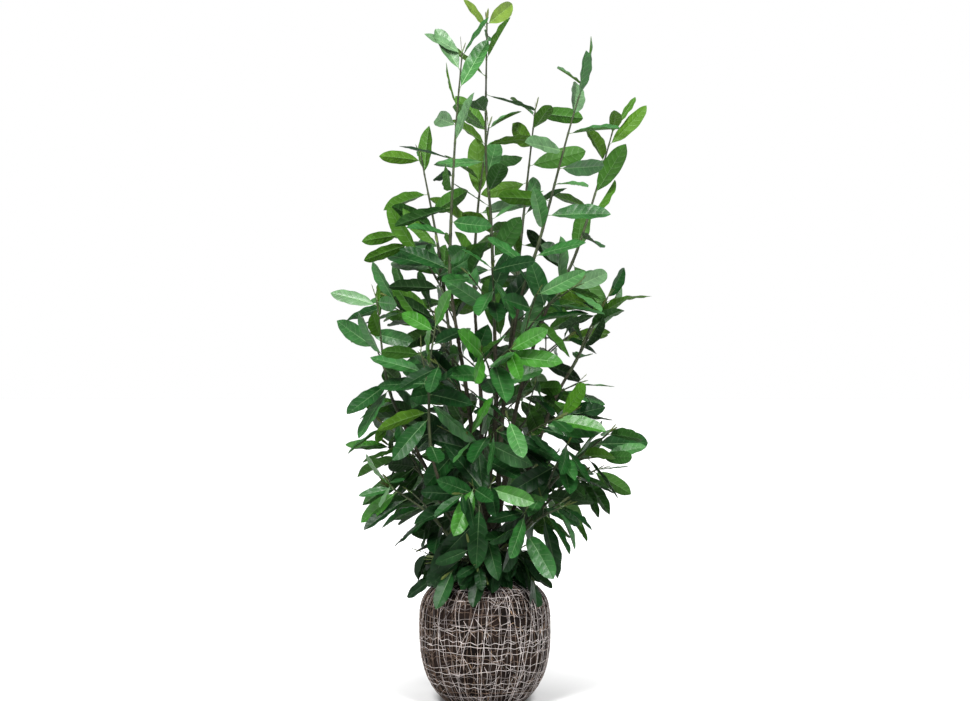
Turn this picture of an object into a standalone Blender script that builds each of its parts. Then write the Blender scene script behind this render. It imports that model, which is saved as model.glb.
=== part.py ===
"""A tall cherry laurel shrub standing on its netted root ball.

Metres, +Z up. The origin is the centre of the flat underside of the root ball.
+X is on the right in the front view, and the front faces -Y.

A short trunk leaves the ball and forks into slender stems and low boughs. Each stem
ends where its crown begins, and every mass of foliage is one object: a stem, its side
twigs and its leaves, grown by one seeded rule and fused into a single body.
"""

import math
import random
from collections import namedtuple

import bmesh
import bpy
from mathutils import Matrix, Vector
from mathutils.bvhtree import BVHTree

# Root ball
BALL_RADIUS = 0.174
BALL_TOP = 0.326
BALL_WIDEST = 0.195
BALL_LOWER_REACH = 0.221
BALL_UPPER_REACH = 0.1335
BALL_LOWER_POWER = 2.4
BALL_UPPER_POWER = 3.4
BALL_SIDES = 28
BALL_RINGS = 11
BALL_LUMP = 0.010

# Trunk and limbs
TRUNK_FORK = 0.520
TRUNK_FOOT_RADIUS = 0.019
TRUNK_FORK_RADIUS = 0.015
TRUNK_FLARE = 0.011
TRUNK_FLARE_HEIGHT = 0.035
TRUNK_SIDES = 10
LIMB_SIDES = 6
LIMB_RING_STEP = 0.050
ELBOW = 0.050
ELBOW_RISE = 38
CROWN_RADIUS = 0.0038
TIP_RADIUS = 0.0014
TWIG_RADIUS = 0.0021
TWIG_SIDES = 3
TWIG_RING_STEP = 0.065
SPRAY_ARCH = 0.10
JOINT_GAP = 0.0003

# Leaves
LEAF_LENGTH = 0.156
LEAF_ASPECT = 0.38
LEAF_THICKNESS = 0.015
LEAF_FOLD = 0.20
LEAF_DROOP = 0.10
LEAF_SPREAD = 52
LEAF_CROWDING = 1.25
LEAF_TURN = 137.5
LEAF_ROLL = 34
LEAF_FACING = 1.6
LEAF_RISE_SPREAD = 23
LEAF_GAP = 0.0009
OUTER_SHARE = 0.92
LOW_LEAF_STEP = 0.038
LOW_LEVEL = 0.40
LOW_PITCH = -50
PITCH_PER_METRE = 78
PITCH_WEIGHT = 0.60
MASS_INTRUSION = 0.055

# The smaller, broader leaves of the skirt, which hang over the ball's shoulder
SKIRT_LEAF_SIZE = 0.60
SKIRT_LEAF_BREADTH = 1.22
SKIRT_LEAF_STEP = 0.0135
SKIRT_PITCH_WEIGHT = 1.0

Limb = namedtuple("Limb", "name host height azimuth points crown_from foot_radius twigs leaf_step seed")
Spray = namedtuple("Spray", "name host height azimuth reach tip twigs seed")
Leaf = namedtuple("Leaf", "root direction normal length width")

# The stems and low boughs, with the points that each one passes through on its way to its tip
LIMBS = (
    Limb("stem_centre", "trunk", 0.520, 90, ((0.028, 0.00, 0.75), (0.026, 0.00, 0.98),
         (0.016, 0.00, 1.28), (0.002, 0.00, 1.47), (0.005, -0.01, 1.81)), 1.10, 0.0085, 0, 0.040, 139),
    Limb("stem_left", "trunk", 0.455, 200, ((-0.035, -0.04, 0.72), (-0.085, -0.07, 1.06),
         (-0.092, -0.08, 1.20), (-0.078, -0.08, 1.50), (-0.060, -0.08, 1.72)), 1.12, 0.0080, 0, 0.040, 5070),
    Limb("stem_right", "trunk", 0.470, 315, ((0.050, -0.06, 0.80), (0.088, -0.10, 1.05),
         (0.144, -0.12, 1.23), (0.216, -0.13, 1.50), (0.258, -0.13, 1.64)), 1.10, 0.0078, 0, 0.040, 1049),
    Limb("stem_far_right", "trunk", 0.430, 35, ((0.085, 0.07, 0.78), (0.165, 0.10, 1.04),
         (0.240, 0.12, 1.18), (0.300, 0.13, 1.36), (0.352, 0.13, 1.545)), 1.10, 0.0075, 0, 0.040, 5240),
    Limb("stem_back", "trunk", 0.480, 105, ((-0.010, 0.10, 0.78), (-0.030, 0.19, 1.10),
         (-0.020, 0.22, 1.33), (0.010, 0.23, 1.56)), 1.10, 0.0072, 0, 0.040, 74),
    Limb("stem_back_right", "stem_centre", 0.740, 60, ((0.075, 0.08, 1.02), (0.112, 0.17, 1.36),
         (0.139, 0.19, 1.60)), 1.10, 0.0050, 0, 0.044, 5220),
    Limb("stem_back_left", "stem_left", 0.760, 140, ((-0.098, 0.03, 1.00), (-0.128, 0.11, 1.22),
         (-0.176, 0.13, 1.47)), 1.08, 0.0048, 0, 0.044, 5046),
    Limb("stem_far_left", "trunk", 0.400, 182, ((-0.120, -0.04, 0.56), (-0.222, -0.05, 0.755),
         (-0.262, -0.06, 0.87), (-0.285, -0.06, 1.07)), 0.74, 0.0060, 1, 0.044, 5054),
    Limb("stem_front_left", "trunk", 0.415, 238, ((-0.090, -0.11, 0.53), (-0.140, -0.15, 0.68),
         (-0.142, -0.16, 0.89), (-0.128, -0.16, 1.00)), 0.66, 0.0058, 1, 0.044, 5288),
    Limb("stem_outer_right", "trunk", 0.395, 0, ((0.110, 0.00, 0.60), (0.185, 0.01, 0.80),
         (0.250, 0.02, 0.92), (0.330, 0.03, 1.08)), 0.88, 0.0060, 1, 0.044, 5045),
    Limb("bough_right", "trunk", 0.362, 343, ((0.100, -0.04, 0.47), (0.190, -0.06, 0.60),
         (0.325, -0.09, 0.72)), 0.50, 0.0052, 2, 0.036, 63),
    Limb("bough_right_back", "trunk", 0.370, 30, ((0.110, 0.06, 0.46), (0.210, 0.11, 0.56),
         (0.310, 0.15, 0.61)), 0.45, 0.0050, 2, 0.036, 5035),
    Limb("bough_right_low", "trunk", 0.352, 306, ((0.070, -0.08, 0.42), (0.130, -0.12, 0.49),
         (0.200, -0.14, 0.53)), 0.42, 0.0048, 2, 0.036, 5070),
    Limb("bough_left", "trunk", 0.380, 160, ((-0.090, 0.03, 0.48), (-0.170, 0.03, 0.60),
         (-0.255, 0.01, 0.68)), 0.48, 0.0052, 2, 0.036, 1007),
    Limb("bough_left_low", "trunk", 0.360, 215, ((-0.080, -0.06, 0.43), (-0.150, -0.09, 0.51),
         (-0.242, -0.10, 0.575)), 0.43, 0.0048, 1, 0.036, 1032),
    Limb("bough_front", "trunk", 0.385, 275, ((0.000, -0.10, 0.46), (-0.015, -0.16, 0.54),
         (-0.030, -0.22, 0.59)), 0.46, 0.0050, 2, 0.036, 5054),
    Limb("bough_back", "trunk", 0.385, 75, ((0.030, 0.10, 0.47), (0.060, 0.19, 0.57),
         (0.080, 0.28, 0.62)), 0.47, 0.0050, 2, 0.036, 5078),
    Limb("bough_back_left", "trunk", 0.365, 118, ((-0.050, 0.09, 0.45), (-0.120, 0.17, 0.55),
         (-0.170, 0.24, 0.60)), 0.45, 0.0050, 2, 0.036, 60),
)

# The side sprays, each from a height on its host to a tip at a reach and a height of its own
SPRAYS = (
    Spray("front_low_mid", "stem_centre", 0.600, 258, 0.200, 0.720, 2, 5049),
    Spray("front_mid", "stem_centre", 0.790, 268, 0.210, 0.930, 2, 5018),
    Spray("front_right_mid", "stem_right", 0.620, 312, 0.270, 0.760, 2, 5008),
    Spray("front_left_mid", "stem_left", 0.780, 240, 0.240, 0.900, 1, 5035),
    Spray("left_mid", "stem_left", 0.880, 178, 0.260, 1.060, 2, 5028),
    Spray("left_high", "stem_left", 1.040, 172, 0.235, 1.250, 1, 5080),
    Spray("far_left_low", "stem_far_left", 0.580, 188, 0.270, 0.740, 1, 5067),
    Spray("right_mid", "stem_far_right", 0.700, 350, 0.250, 0.850, 1, 1042),
    Spray("right_high", "stem_right", 0.920, 328, 0.270, 1.100, 2, 5010),
    Spray("far_right_back", "stem_far_right", 0.820, 42, 0.320, 0.980, 2, 5016),
    Spray("back_mid", "stem_back", 0.660, 82, 0.310, 0.810, 2, 5025),
    Spray("back_left_mid", "stem_back", 0.610, 134, 0.290, 0.770, 2, 5035),
    Spray("back_high", "stem_back", 0.890, 55, 0.300, 1.060, 1, 5041),
    Spray("back_left_high", "stem_back", 0.910, 140, 0.300, 1.090, 1, 1066),
    Spray("front_high", "stem_centre", 0.980, 276, 0.180, 1.150, 1, 5067),
    Spray("outer_right_low", "stem_outer_right", 0.560, 344, 0.330, 0.660, 1, 5066),
    Spray("skirt_front", "trunk", 0.350, 262, 0.148, 0.378, 1, 255),
    Spray("skirt_right", "trunk", 0.345, 328, 0.130, 0.380, 1, 187),
    Spray("skirt_back_right", "trunk", 0.350, 50, 0.130, 0.380, 1, 253),
    Spray("skirt_back_left", "trunk", 0.345, 128, 0.130, 0.380, 1, 156),
    Spray("skirt_left", "trunk", 0.350, 198, 0.130, 0.380, 1, 109),
)


def heading(azimuth, rise):
    """The unit vector at an azimuth from +X towards +Y and a rise above level, both in degrees."""
    a, e = math.radians(azimuth), math.radians(rise)
    return Vector((math.cos(a) * math.cos(e), math.sin(a) * math.cos(e), math.sin(e)))


def mixed(a, b, share):
    return a + (b - a) * share


class Path:
    """A smooth line with a radius that tapers from its foot to its tip."""

    SAMPLE = 0.004

    def __init__(self, points, foot_radius, tip_radius):
        self.points = points
        self.foot_radius = foot_radius
        self.tip_radius = tip_radius
        self.distances = [0.0]
        for a, b in zip(points, points[1:]):
            self.distances.append(self.distances[-1] + (b - a).length)
        self.length = self.distances[-1]

    @classmethod
    def through(cls, guides, foot_radius, tip_radius):
        """A Catmull-Rom curve through the guide points."""
        guides = [Vector(g) for g in guides]
        ends = [guides[0] * 2 - guides[1], *guides, guides[-1] * 2 - guides[-2]]
        points = [guides[0]]
        for p0, p1, p2, p3 in zip(ends, ends[1:], ends[2:], ends[3:]):
            count = max(2, round((p2 - p1).length / cls.SAMPLE))
            for i in range(1, count + 1):
                t = i / count
                points.append(0.5 * (2 * p1 + (p2 - p0) * t + (2 * p0 - 5 * p1 + 4 * p2 - p3) * t * t
                                     + (3 * p1 - p0 - 3 * p2 + p3) * t ** 3))
        return cls(points, foot_radius, tip_radius)

    @classmethod
    def bent(cls, start, azimuth, rise, bend, length, foot_radius, tip_radius):
        """A line that leaves at an azimuth and a rise, and bends up or down by `bend` degrees on its way."""
        count = max(3, round(length / cls.SAMPLE))
        points = [Vector(start)]
        for i in range(count):
            t = (i + 0.5) / count
            step = heading(azimuth, rise + bend * t)
            points.append(points[-1] + step * (length / count))
        return cls(points, foot_radius, tip_radius)

    def at(self, distance):
        """The point and the direction at this distance from the foot."""
        distance = min(max(distance, 0.0), self.length)
        share = distance / self.length * (len(self.points) - 1)
        i = min(int(share), len(self.points) - 2)
        while i > 0 and self.distances[i] > distance:
            i -= 1
        while i < len(self.points) - 2 and self.distances[i + 1] < distance:
            i += 1
        a, b = self.points[i], self.points[i + 1]
        step = self.distances[i + 1] - self.distances[i]
        before = self.points[max(i - 3, 0)]
        after = self.points[min(i + 4, len(self.points) - 1)]
        return a.lerp(b, (distance - self.distances[i]) / step), (after - before).normalized()

    def radius(self, distance):
        return mixed(self.foot_radius, self.tip_radius, distance / self.length)

    def cut(self, start, end):
        """The stretch between two distances, with the radii it has there."""
        inner = [p for p, d in zip(self.points, self.distances) if start + 1e-4 < d < end - 1e-4]
        points = [self.at(start)[0], *inner, self.at(end)[0]]
        return Path(points, self.radius(start), self.radius(end))

    def distance_at_height(self, height):
        """How far from the foot the line first reaches this height."""
        for a, b, d in zip(self.points, self.points[1:], self.distances):
            if a.z <= height < b.z:
                return d + (b - a).length * (height - a.z) / (b.z - a.z)
        return self.length


def ring_frames(path, step):
    """Points, directions and a steady side vector at even steps along a path."""
    count = max(1, round(path.length / step))
    frames = []
    side = None
    for i in range(count + 1):
        point, along = path.at(path.length * i / count)
        if side is None:
            side = along.orthogonal()
        side = (side - along * side.dot(along)).normalized()
        frames.append((point, along, side, path.length * i / count))
    return frames


def facet_axis(path, step, distance):
    """The point at this distance on the straight axis of the tube's own facets, and the path's direction."""
    count = max(1, round(path.length / step))
    share = min(distance / path.length * count, count - 1e-6)
    a = path.at(path.length * int(share) / count)[0]
    b = path.at(path.length * (int(share) + 1) / count)[0]
    return a.lerp(b, share - int(share)), path.at(distance)[1]


def tube(path, sides, step):
    """The vertices and faces of a closed tapering tube."""
    verts, faces = [], []
    frames = ring_frames(path, step)
    for point, along, side, distance in frames:
        across = along.cross(side)
        for k in range(sides):
            a = 2 * math.pi * k / sides
            verts.append(point + (side * math.cos(a) + across * math.sin(a)) * path.radius(distance))
    for i in range(len(frames) - 1):
        for k in range(sides):
            a, b = i * sides + k, i * sides + (k + 1) % sides
            faces.append((a, b, b + sides, a + sides))
    faces.append(tuple(range(sides))[::-1])
    faces.append(tuple(range(len(verts) - sides, len(verts))))
    return verts, faces


def ball_radius(height, azimuth):
    """The root ball's radius: two superellipses that meet at its widest ring, pressed into shallow lumps."""
    if height < BALL_WIDEST:
        reach, power = BALL_LOWER_REACH, BALL_LOWER_POWER
    else:
        reach, power = BALL_UPPER_REACH, BALL_UPPER_POWER
    share = abs(height - BALL_WIDEST) / reach
    radius = BALL_RADIUS * (1 - share ** power) ** (1 / power)
    lump = math.sin(2 * azimuth + 0.7) * 0.5 + math.sin(3 * azimuth + 9 * height + 2.1) * 0.5
    return radius * (1 + BALL_LUMP * lump)


def ball_shape():
    """The netted root ball, from its flat underside to the small flat that the trunk stands on."""
    verts, faces = [], []
    for i in range(BALL_RINGS + 1):
        height = BALL_TOP * (1 - math.cos(math.pi * (i + 0.6) / (BALL_RINGS + 0.6))) / 2
        height = 0.0 if i == 0 else min(height, BALL_TOP)
        for k in range(BALL_SIDES):
            a = 2 * math.pi * k / BALL_SIDES
            radius = ball_radius(height, a)
            verts.append(Vector((radius * math.cos(a), radius * math.sin(a), height)))
    for i in range(BALL_RINGS):
        for k in range(BALL_SIDES):
            a, b = i * BALL_SIDES + k, i * BALL_SIDES + (k + 1) % BALL_SIDES
            faces.append((a, b, b + BALL_SIDES, a + BALL_SIDES))
    faces.append(tuple(range(BALL_SIDES))[::-1])
    faces.append(tuple(range(len(verts) - BALL_SIDES, len(verts))))
    return verts, faces


def trunk_shape():
    """The short trunk, from its flared flat foot on the ball to the flat where it forks."""
    rings = 6
    foot = BALL_TOP + JOINT_GAP
    verts, faces = [], []
    for i in range(rings + 1):
        height = mixed(foot, TRUNK_FORK, (i / rings) ** 1.4)
        share = (height - foot) / (TRUNK_FORK - foot)
        flare = TRUNK_FLARE * math.exp(-(height - foot) / TRUNK_FLARE_HEIGHT)
        radius = mixed(TRUNK_FOOT_RADIUS, TRUNK_FORK_RADIUS, share) + flare
        for k in range(TRUNK_SIDES):
            a = 2 * math.pi * k / TRUNK_SIDES
            ridge = 1 + 0.12 * math.cos(4 * a + 0.5) * (1 - share)
            verts.append(Vector((radius * ridge * math.cos(a), radius * ridge * math.sin(a), height)))
    for i in range(rings):
        for k in range(TRUNK_SIDES):
            a, b = i * TRUNK_SIDES + k, i * TRUNK_SIDES + (k + 1) % TRUNK_SIDES
            faces.append((a, b, b + TRUNK_SIDES, a + TRUNK_SIDES))
    faces.append(tuple(range(TRUNK_SIDES))[::-1])
    faces.append(tuple(range(len(verts) - TRUNK_SIDES, len(verts))))
    return verts, faces


def bvh(verts, faces):
    return BVHTree.FromPolygons([tuple(v) for v in verts], faces)


def stands_clear(path, tree, sides, step):
    """Whether a tube's foot keeps its gap from a solid and the rest of it stays outside."""
    verts, faces = tube(path, sides, step)
    if bvh(verts, faces).overlap(tree):
        return False
    foot = verts[:sides]
    foot += [(a + b) / 2 for a, b in zip(foot, foot[1:] + foot[:1])]
    return all(tree.find_nearest(corner)[3] >= JOINT_GAP for corner in foot)


def seated(path, tree, sides, step):
    """The part of a path that lies clear of the solid it grows from, with a hair's gap between them."""
    low, high = 0.0, 0.0
    while not stands_clear(path.cut(high, path.length), tree, sides, step):
        low, high = high, high + 0.002
    for _ in range(10):
        middle = (low + high) / 2
        if stands_clear(path.cut(middle, path.length), tree, sides, step):
            high = middle
        else:
            low = middle
    return path.cut(high, path.length)


def leaf_solid(leaf, spare=0.0):
    """A keeled blade of ten faces, arched over its length. `spare` thickens it, for tests of clearance."""
    along, normal = leaf.direction, leaf.normal
    side = along.cross(normal)
    half = leaf.width / 2

    def place(share, across, lift):
        return leaf.root + along * (leaf.length * share) + side * across + normal * lift

    fold, droop = LEAF_FOLD * half, LEAF_DROOP * leaf.length
    verts = [
        place(0, 0, spare / 2),
        place(0.30, -half * 0.82, fold * 0.8 + spare),
        place(0.70, -half * 0.96, fold - droop * 0.35 + spare),
        place(1, 0, -droop),
        place(0.70, half * 0.96, fold - droop * 0.35 + spare),
        place(0.30, half * 0.82, fold * 0.8 + spare),
        place(0.42, 0, -droop * 0.4 - LEAF_THICKNESS * leaf.length - spare),
    ]
    faces = [(0, 3, 1), (1, 3, 2), (0, 5, 3), (3, 5, 4),
             (0, 1, 6), (1, 2, 6), (2, 3, 6), (3, 4, 6), (4, 5, 6), (5, 0, 6)]
    return verts, faces


class Obstacle:
    """A solid that others keep clear of, with a sphere round it for a quick first test."""

    def __init__(self, verts, faces, owner):
        self.tree = bvh(verts, faces)
        self.centre = sum(verts, Vector()) / len(verts)
        self.reach = max((v - self.centre).length for v in verts)
        self.owner = owner

    def meets(self, other):
        near = (self.centre - other.centre).length < self.reach + other.reach
        return near and bool(self.tree.overlap(other.tree))


class Mass:
    """One mass of foliage while it grows."""

    def __init__(self, name, stem, leaf_step, twig_count, seed):
        self.name = name
        self.stem = stem
        self.leaf_step = leaf_step
        self.twig_count = twig_count
        self.twigs = []
        self.leaves = []
        self.seed = seed
        self.skirt = name.startswith("foliage_skirt")

    def distance_to(self, point):
        return min((p - point).length for p in self.stem.points[::6] + self.stem.points[-1:])


def leaf_pose(rng, point, along, spin, length, pitch_weight=PITCH_WEIGHT, breadth=1.0):
    """A leaf at a point of a twig: how it leaves the twig, hangs with the height, and turns to the light."""
    side = along.orthogonal().normalized()
    side = Matrix.Rotation(math.radians(spin), 3, along) @ side
    spread = math.radians(LEAF_SPREAD)
    natural = along * math.cos(spread) + side * math.sin(spread)
    level = Vector((natural.x, natural.y, 0))
    outward = Vector((point.x, point.y, 0))
    outward = outward / max(outward.length, 0.06)
    level = (level.normalized() + outward * 0.45).normalized()
    pitch = LOW_PITCH + PITCH_PER_METRE * (point.z - LOW_LEVEL)
    rise = mixed(math.degrees(math.asin(natural.z)), min(pitch, 48), pitch_weight)
    rise += rng.gauss(-4, LEAF_RISE_SPREAD)
    direction = level * math.cos(math.radians(rise)) + Vector((0, 0, math.sin(math.radians(rise))))
    normal = Vector((0, 0, 1)) + outward * LEAF_FACING
    normal = (normal - direction * normal.dot(direction)).normalized()
    roll = rng.gauss(0, LEAF_ROLL)
    normal = Matrix.Rotation(math.radians(roll), 3, direction) @ normal
    length *= rng.uniform(0.86, 1.10)
    return Leaf(point, direction, normal, length, length * LEAF_ASPECT * breadth * rng.uniform(0.92, 1.08))


def leaf_fits(leaf, mass, masses, obstacles):
    """Whether a leaf keeps to its mass's own space, and clear of all but the twig that it grows from."""
    middle = leaf.root + leaf.direction * leaf.length * 0.6
    own = mass.distance_to(middle)
    if any(own - m.distance_to(middle) > MASS_INTRUSION for m in masses if m is not mass):
        return False
    past_root = leaf.root + leaf.direction * leaf.length * (1 - OUTER_SHARE)
    blade = leaf._replace(root=past_root, length=leaf.length * OUTER_SHARE)
    outer = Obstacle(*leaf_solid(blade, LEAF_GAP), mass.name)
    wholes = [Obstacle(*leaf_solid(leaf, spare), mass.name) for spare in (LEAF_GAP, 0)]
    for other in obstacles:
        shapes = [outer] if other.owner == mass.name else wholes
        if any(shape.meets(other) for shape in shapes):
            return False
    return True


def grow_leaf(mass, masses, obstacles, rng, point, along, spin, length):
    """Adds a leaf to a mass, tried at a few angles, and skipped where none is clear."""
    size = length * (SKIRT_LEAF_SIZE if mass.skirt else 1)
    habit = (SKIRT_PITCH_WEIGHT, SKIRT_LEAF_BREADTH) if mass.skirt else (PITCH_WEIGHT, 1.0)
    for turn in (0, 24, -24, 48, -48, 80, -80):
        leaf = leaf_pose(rng, point, along, spin + turn, size, *habit)
        if leaf_fits(leaf, mass, masses, obstacles):
            mass.leaves.append(leaf)
            obstacles.append(Obstacle(*leaf_solid(leaf), mass.name))
            return


def grow_twigs(mass, obstacles):
    """Side twigs on the first part of a mass's stem, each skipped where it would touch something."""
    for i in range(mass.twig_count):
        place = mass.stem.length * (0.24 + 0.30 * i)
        point, along = facet_axis(mass.stem, TWIG_RING_STEP, place)
        level = math.degrees(math.atan2(along.y, along.x))
        turn = 44 if i % 2 else -48
        rise = math.degrees(math.asin(along.z)) + 6
        length = mass.stem.length * (0.56 - 0.10 * i)
        twig = Path.bent(point, level + turn, rise, -18, length, mass.stem.radius(place) * 0.72, TIP_RADIUS)
        solid = Obstacle(*tube(twig, TWIG_SIDES, TWIG_RING_STEP), mass.name)
        if not any(solid.meets(o) for o in obstacles if o.owner != mass.name):
            mass.twigs.append(twig)
            obstacles.append(solid)


def grow_leaves(mass, masses, obstacles):
    """Leaves in a spiral along a mass's stem and twigs, closest at its foot, with a pair at each tip."""
    rng = random.Random(mass.seed)
    for path in (mass.stem, *mass.twigs):
        count = max(2, round((path.length - 0.045) / mass.leaf_step))
        spin = rng.uniform(0, 360)
        for i in range(count):
            share = ((i + 0.5) / count) ** LEAF_CROWDING
            point, along = facet_axis(path, TWIG_RING_STEP, 0.02 + (path.length - 0.045) * share)
            size = LEAF_LENGTH * (1.0 - 0.15 * max(0.0, share - 0.7) / 0.3)
            grow_leaf(mass, masses, obstacles, rng, point, along, spin + LEAF_TURN * i, size)
        for back, turn in ((0.006, 0), (0.015, 180)):
            point, along = facet_axis(path, TWIG_RING_STEP, path.length - back)
            grow_leaf(mass, masses, obstacles, rng, point, along, spin + turn, LEAF_LENGTH * 0.82)


def build_limbs():
    """The paths and the solids of the trunk and the limbs, and the crown at each limb's end."""
    shapes = {"trunk": trunk_shape()}
    paths = {"trunk": Path([Vector((0, 0, BALL_TOP)), Vector((0, 0, TRUNK_FORK - 0.002))], 0.02, 0.02)}
    crowns = {}
    for row in LIMBS:
        start = paths[row.host].at(paths[row.host].distance_at_height(row.height))[0]
        guides = [start, *row.points]
        if row.height < TRUNK_FORK or row.host != "trunk":
            guides.insert(1, start + heading(row.azimuth, ELBOW_RISE) * ELBOW)
        path = Path.through(guides, row.foot_radius, TIP_RADIUS)
        fork = path.distance_at_height(row.crown_from)
        limb = Path(path.cut(0, fork).points, row.foot_radius, CROWN_RADIUS)
        limb = seated(limb, bvh(*shapes[row.host]), LIMB_SIDES, LIMB_RING_STEP)
        paths[row.name] = limb
        shapes[row.name] = tube(limb, LIMB_SIDES, LIMB_RING_STEP)
        crown = Path(path.cut(fork, path.length).points, CROWN_RADIUS, TIP_RADIUS)
        crowns[row.name] = seated(crown, bvh(*shapes[row.name]), TWIG_SIDES, TWIG_RING_STEP)
    return paths, shapes, crowns


def start_masses(paths, shapes, crowns):
    """The stem of every mass: the crowns first, then the sprays on the limbs' sides."""
    masses = []
    for row in LIMBS:
        name = row.name.replace("stem_", "foliage_crown_").replace("bough_", "foliage_bough_")
        masses.append(Mass(name, crowns[row.name], row.leaf_step, row.twigs, row.seed))
    for row in SPRAYS:
        start = paths[row.host].at(paths[row.host].distance_at_height(row.height))[0]
        tip = heading(row.azimuth, 0) * row.reach + Vector((0, 0, row.tip))
        middle = start.lerp(tip, 0.5) + Vector((0, 0, SPRAY_ARCH * (tip - start).length))
        stem = Path.through([start, middle, tip], TWIG_RADIUS * 1.25, TIP_RADIUS)
        stem = seated(stem, bvh(*shapes[row.host]), TWIG_SIDES, TWIG_RING_STEP)
        step = SKIRT_LEAF_STEP if row.host == "trunk" else LOW_LEAF_STEP
        masses.append(Mass("foliage_" + row.name, stem, step, row.twigs, row.seed))
    return masses


def grow():
    """Every solid of the plant: the limbs' shapes and the finished masses."""
    paths, shapes, crowns = build_limbs()
    ball = ball_shape()
    obstacles = [Obstacle(*ball, "root_ball")]
    touching = []
    for name, shape in shapes.items():
        solid = Obstacle(*shape, name)
        touching += [f"{name} and {other.owner}" for other in obstacles if solid.meets(other)]
        obstacles.append(solid)
    masses = start_masses(paths, shapes, crowns)
    for mass in masses:
        solid = Obstacle(*tube(mass.stem, TWIG_SIDES, TWIG_RING_STEP), mass.name)
        touching += [f"{mass.name} and {other.owner}" for other in obstacles if solid.meets(other)]
        obstacles.append(solid)
    if touching:
        raise ValueError("these stems touch: " + ", ".join(touching))
    for mass in masses:
        grow_twigs(mass, obstacles)
    for mass in masses:
        grow_leaves(mass, masses, obstacles)
    return ball, shapes, masses


def material(name, colour, roughness):
    """A plain Principled material, made once."""
    made = bpy.data.materials.get(name)
    if made is None:
        made = bpy.data.materials.new(name)
        made.use_nodes = True
        shader = made.node_tree.nodes["Principled BSDF"]
        shader.inputs["Base Color"].default_value = (*colour, 1)
        shader.inputs["Roughness"].default_value = roughness
    return made


def leaf_green():
    return material("leaf green", (0.045, 0.13, 0.035), 0.42)


def bark_brown():
    return material("bark brown", (0.075, 0.060, 0.035), 0.80)


def net_and_soil():
    return material("net and soil", (0.16, 0.115, 0.085), 0.95)


def add_object(name, verts, faces, made_of, smooth=False, collection=None):
    """A mesh object with outward faces and one material."""
    shape = bmesh.new()
    made = [shape.verts.new(v) for v in verts]
    for face in faces:
        shape.faces.new([made[i] for i in face])
    bmesh.ops.recalc_face_normals(shape, faces=shape.faces)
    mesh = bpy.data.meshes.new(name)
    shape.to_mesh(mesh)
    shape.free()
    mesh.materials.append(made_of)
    if smooth:
        mesh.shade_smooth()
        mesh.set_sharp_from_angle(angle=math.radians(50))
    obj = bpy.data.objects.new(name, mesh)
    (collection or bpy.context.scene.collection).objects.link(obj)
    return obj


def fuse(obj, parts):
    """Joins a collection of solids to an object with one Boolean union, then removes the collection."""
    union = obj.modifiers.new("union", "BOOLEAN")
    union.operation = "UNION"
    union.solver = "EXACT"
    union.operand_type = "COLLECTION"
    union.collection = parts
    bpy.context.view_layer.update()
    graph = bpy.context.evaluated_depsgraph_get()
    fused = bpy.data.meshes.new_from_object(obj.evaluated_get(graph))
    obj.modifiers.clear()
    obj.data = fused
    fused.name = obj.name
    for part in list(parts.objects):
        bpy.data.objects.remove(part)
    bpy.data.collections.remove(parts)


def add_mass(mass):
    """One mass of foliage: its stem, with its twigs and leaves fused on."""
    obj = add_object(mass.name, *tube(mass.stem, TWIG_SIDES, TWIG_RING_STEP), leaf_green())
    parts = bpy.data.collections.new(mass.name + " parts")
    bpy.context.scene.collection.children.link(parts)
    for twig in mass.twigs:
        add_object("twig", *tube(twig, TWIG_SIDES, TWIG_RING_STEP), leaf_green(), collection=parts)
    for leaf in mass.leaves:
        add_object("leaf", *leaf_solid(leaf), leaf_green(), collection=parts)
    fuse(obj, parts)
    return obj


def clear_scene():
    for obj in list(bpy.data.objects):
        bpy.data.objects.remove(obj)


def main():
    clear_scene()
    ball, shapes, masses = grow()
    add_object("root_ball", *ball, net_and_soil(), smooth=True)
    for name, shape in shapes.items():
        add_object(name, *shape, bark_brown(), smooth=True)
    for mass in masses:
        add_mass(mass)


main()
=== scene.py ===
"""The looks of a tall cherry laurel shrub on its netted root ball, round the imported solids.

Metres, +Z up. The front faces -Y, with +X on the right. The limbs, twigs and leaves grow here by
the same rule and from the same tables as the solids, and each is then dressed with its fine shape.
"""

import math
import random
from collections import namedtuple

import bpy
import numpy as np
from mathutils import Matrix, Vector, noise
from mathutils.bvhtree import BVHTree


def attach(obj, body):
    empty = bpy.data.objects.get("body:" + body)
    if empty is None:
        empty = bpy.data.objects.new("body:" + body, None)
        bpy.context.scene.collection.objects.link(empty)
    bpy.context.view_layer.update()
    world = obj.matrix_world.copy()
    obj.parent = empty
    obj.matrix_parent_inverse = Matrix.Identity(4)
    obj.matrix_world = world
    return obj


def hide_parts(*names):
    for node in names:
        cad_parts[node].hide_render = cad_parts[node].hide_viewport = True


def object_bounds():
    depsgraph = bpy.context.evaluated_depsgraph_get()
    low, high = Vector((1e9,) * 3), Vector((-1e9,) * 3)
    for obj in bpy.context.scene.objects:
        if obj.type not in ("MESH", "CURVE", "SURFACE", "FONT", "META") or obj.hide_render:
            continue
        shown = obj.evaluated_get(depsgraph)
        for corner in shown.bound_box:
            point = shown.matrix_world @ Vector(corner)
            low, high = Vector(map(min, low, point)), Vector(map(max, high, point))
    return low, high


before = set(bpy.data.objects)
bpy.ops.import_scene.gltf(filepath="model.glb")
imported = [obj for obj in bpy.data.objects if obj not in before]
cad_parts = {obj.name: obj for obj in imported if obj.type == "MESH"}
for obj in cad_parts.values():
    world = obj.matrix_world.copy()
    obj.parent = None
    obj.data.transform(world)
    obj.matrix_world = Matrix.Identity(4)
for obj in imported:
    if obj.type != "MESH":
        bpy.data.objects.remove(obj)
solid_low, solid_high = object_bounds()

# Root ball
BALL_RADIUS = 0.174
BALL_TOP = 0.326
BALL_WIDEST = 0.195
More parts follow.
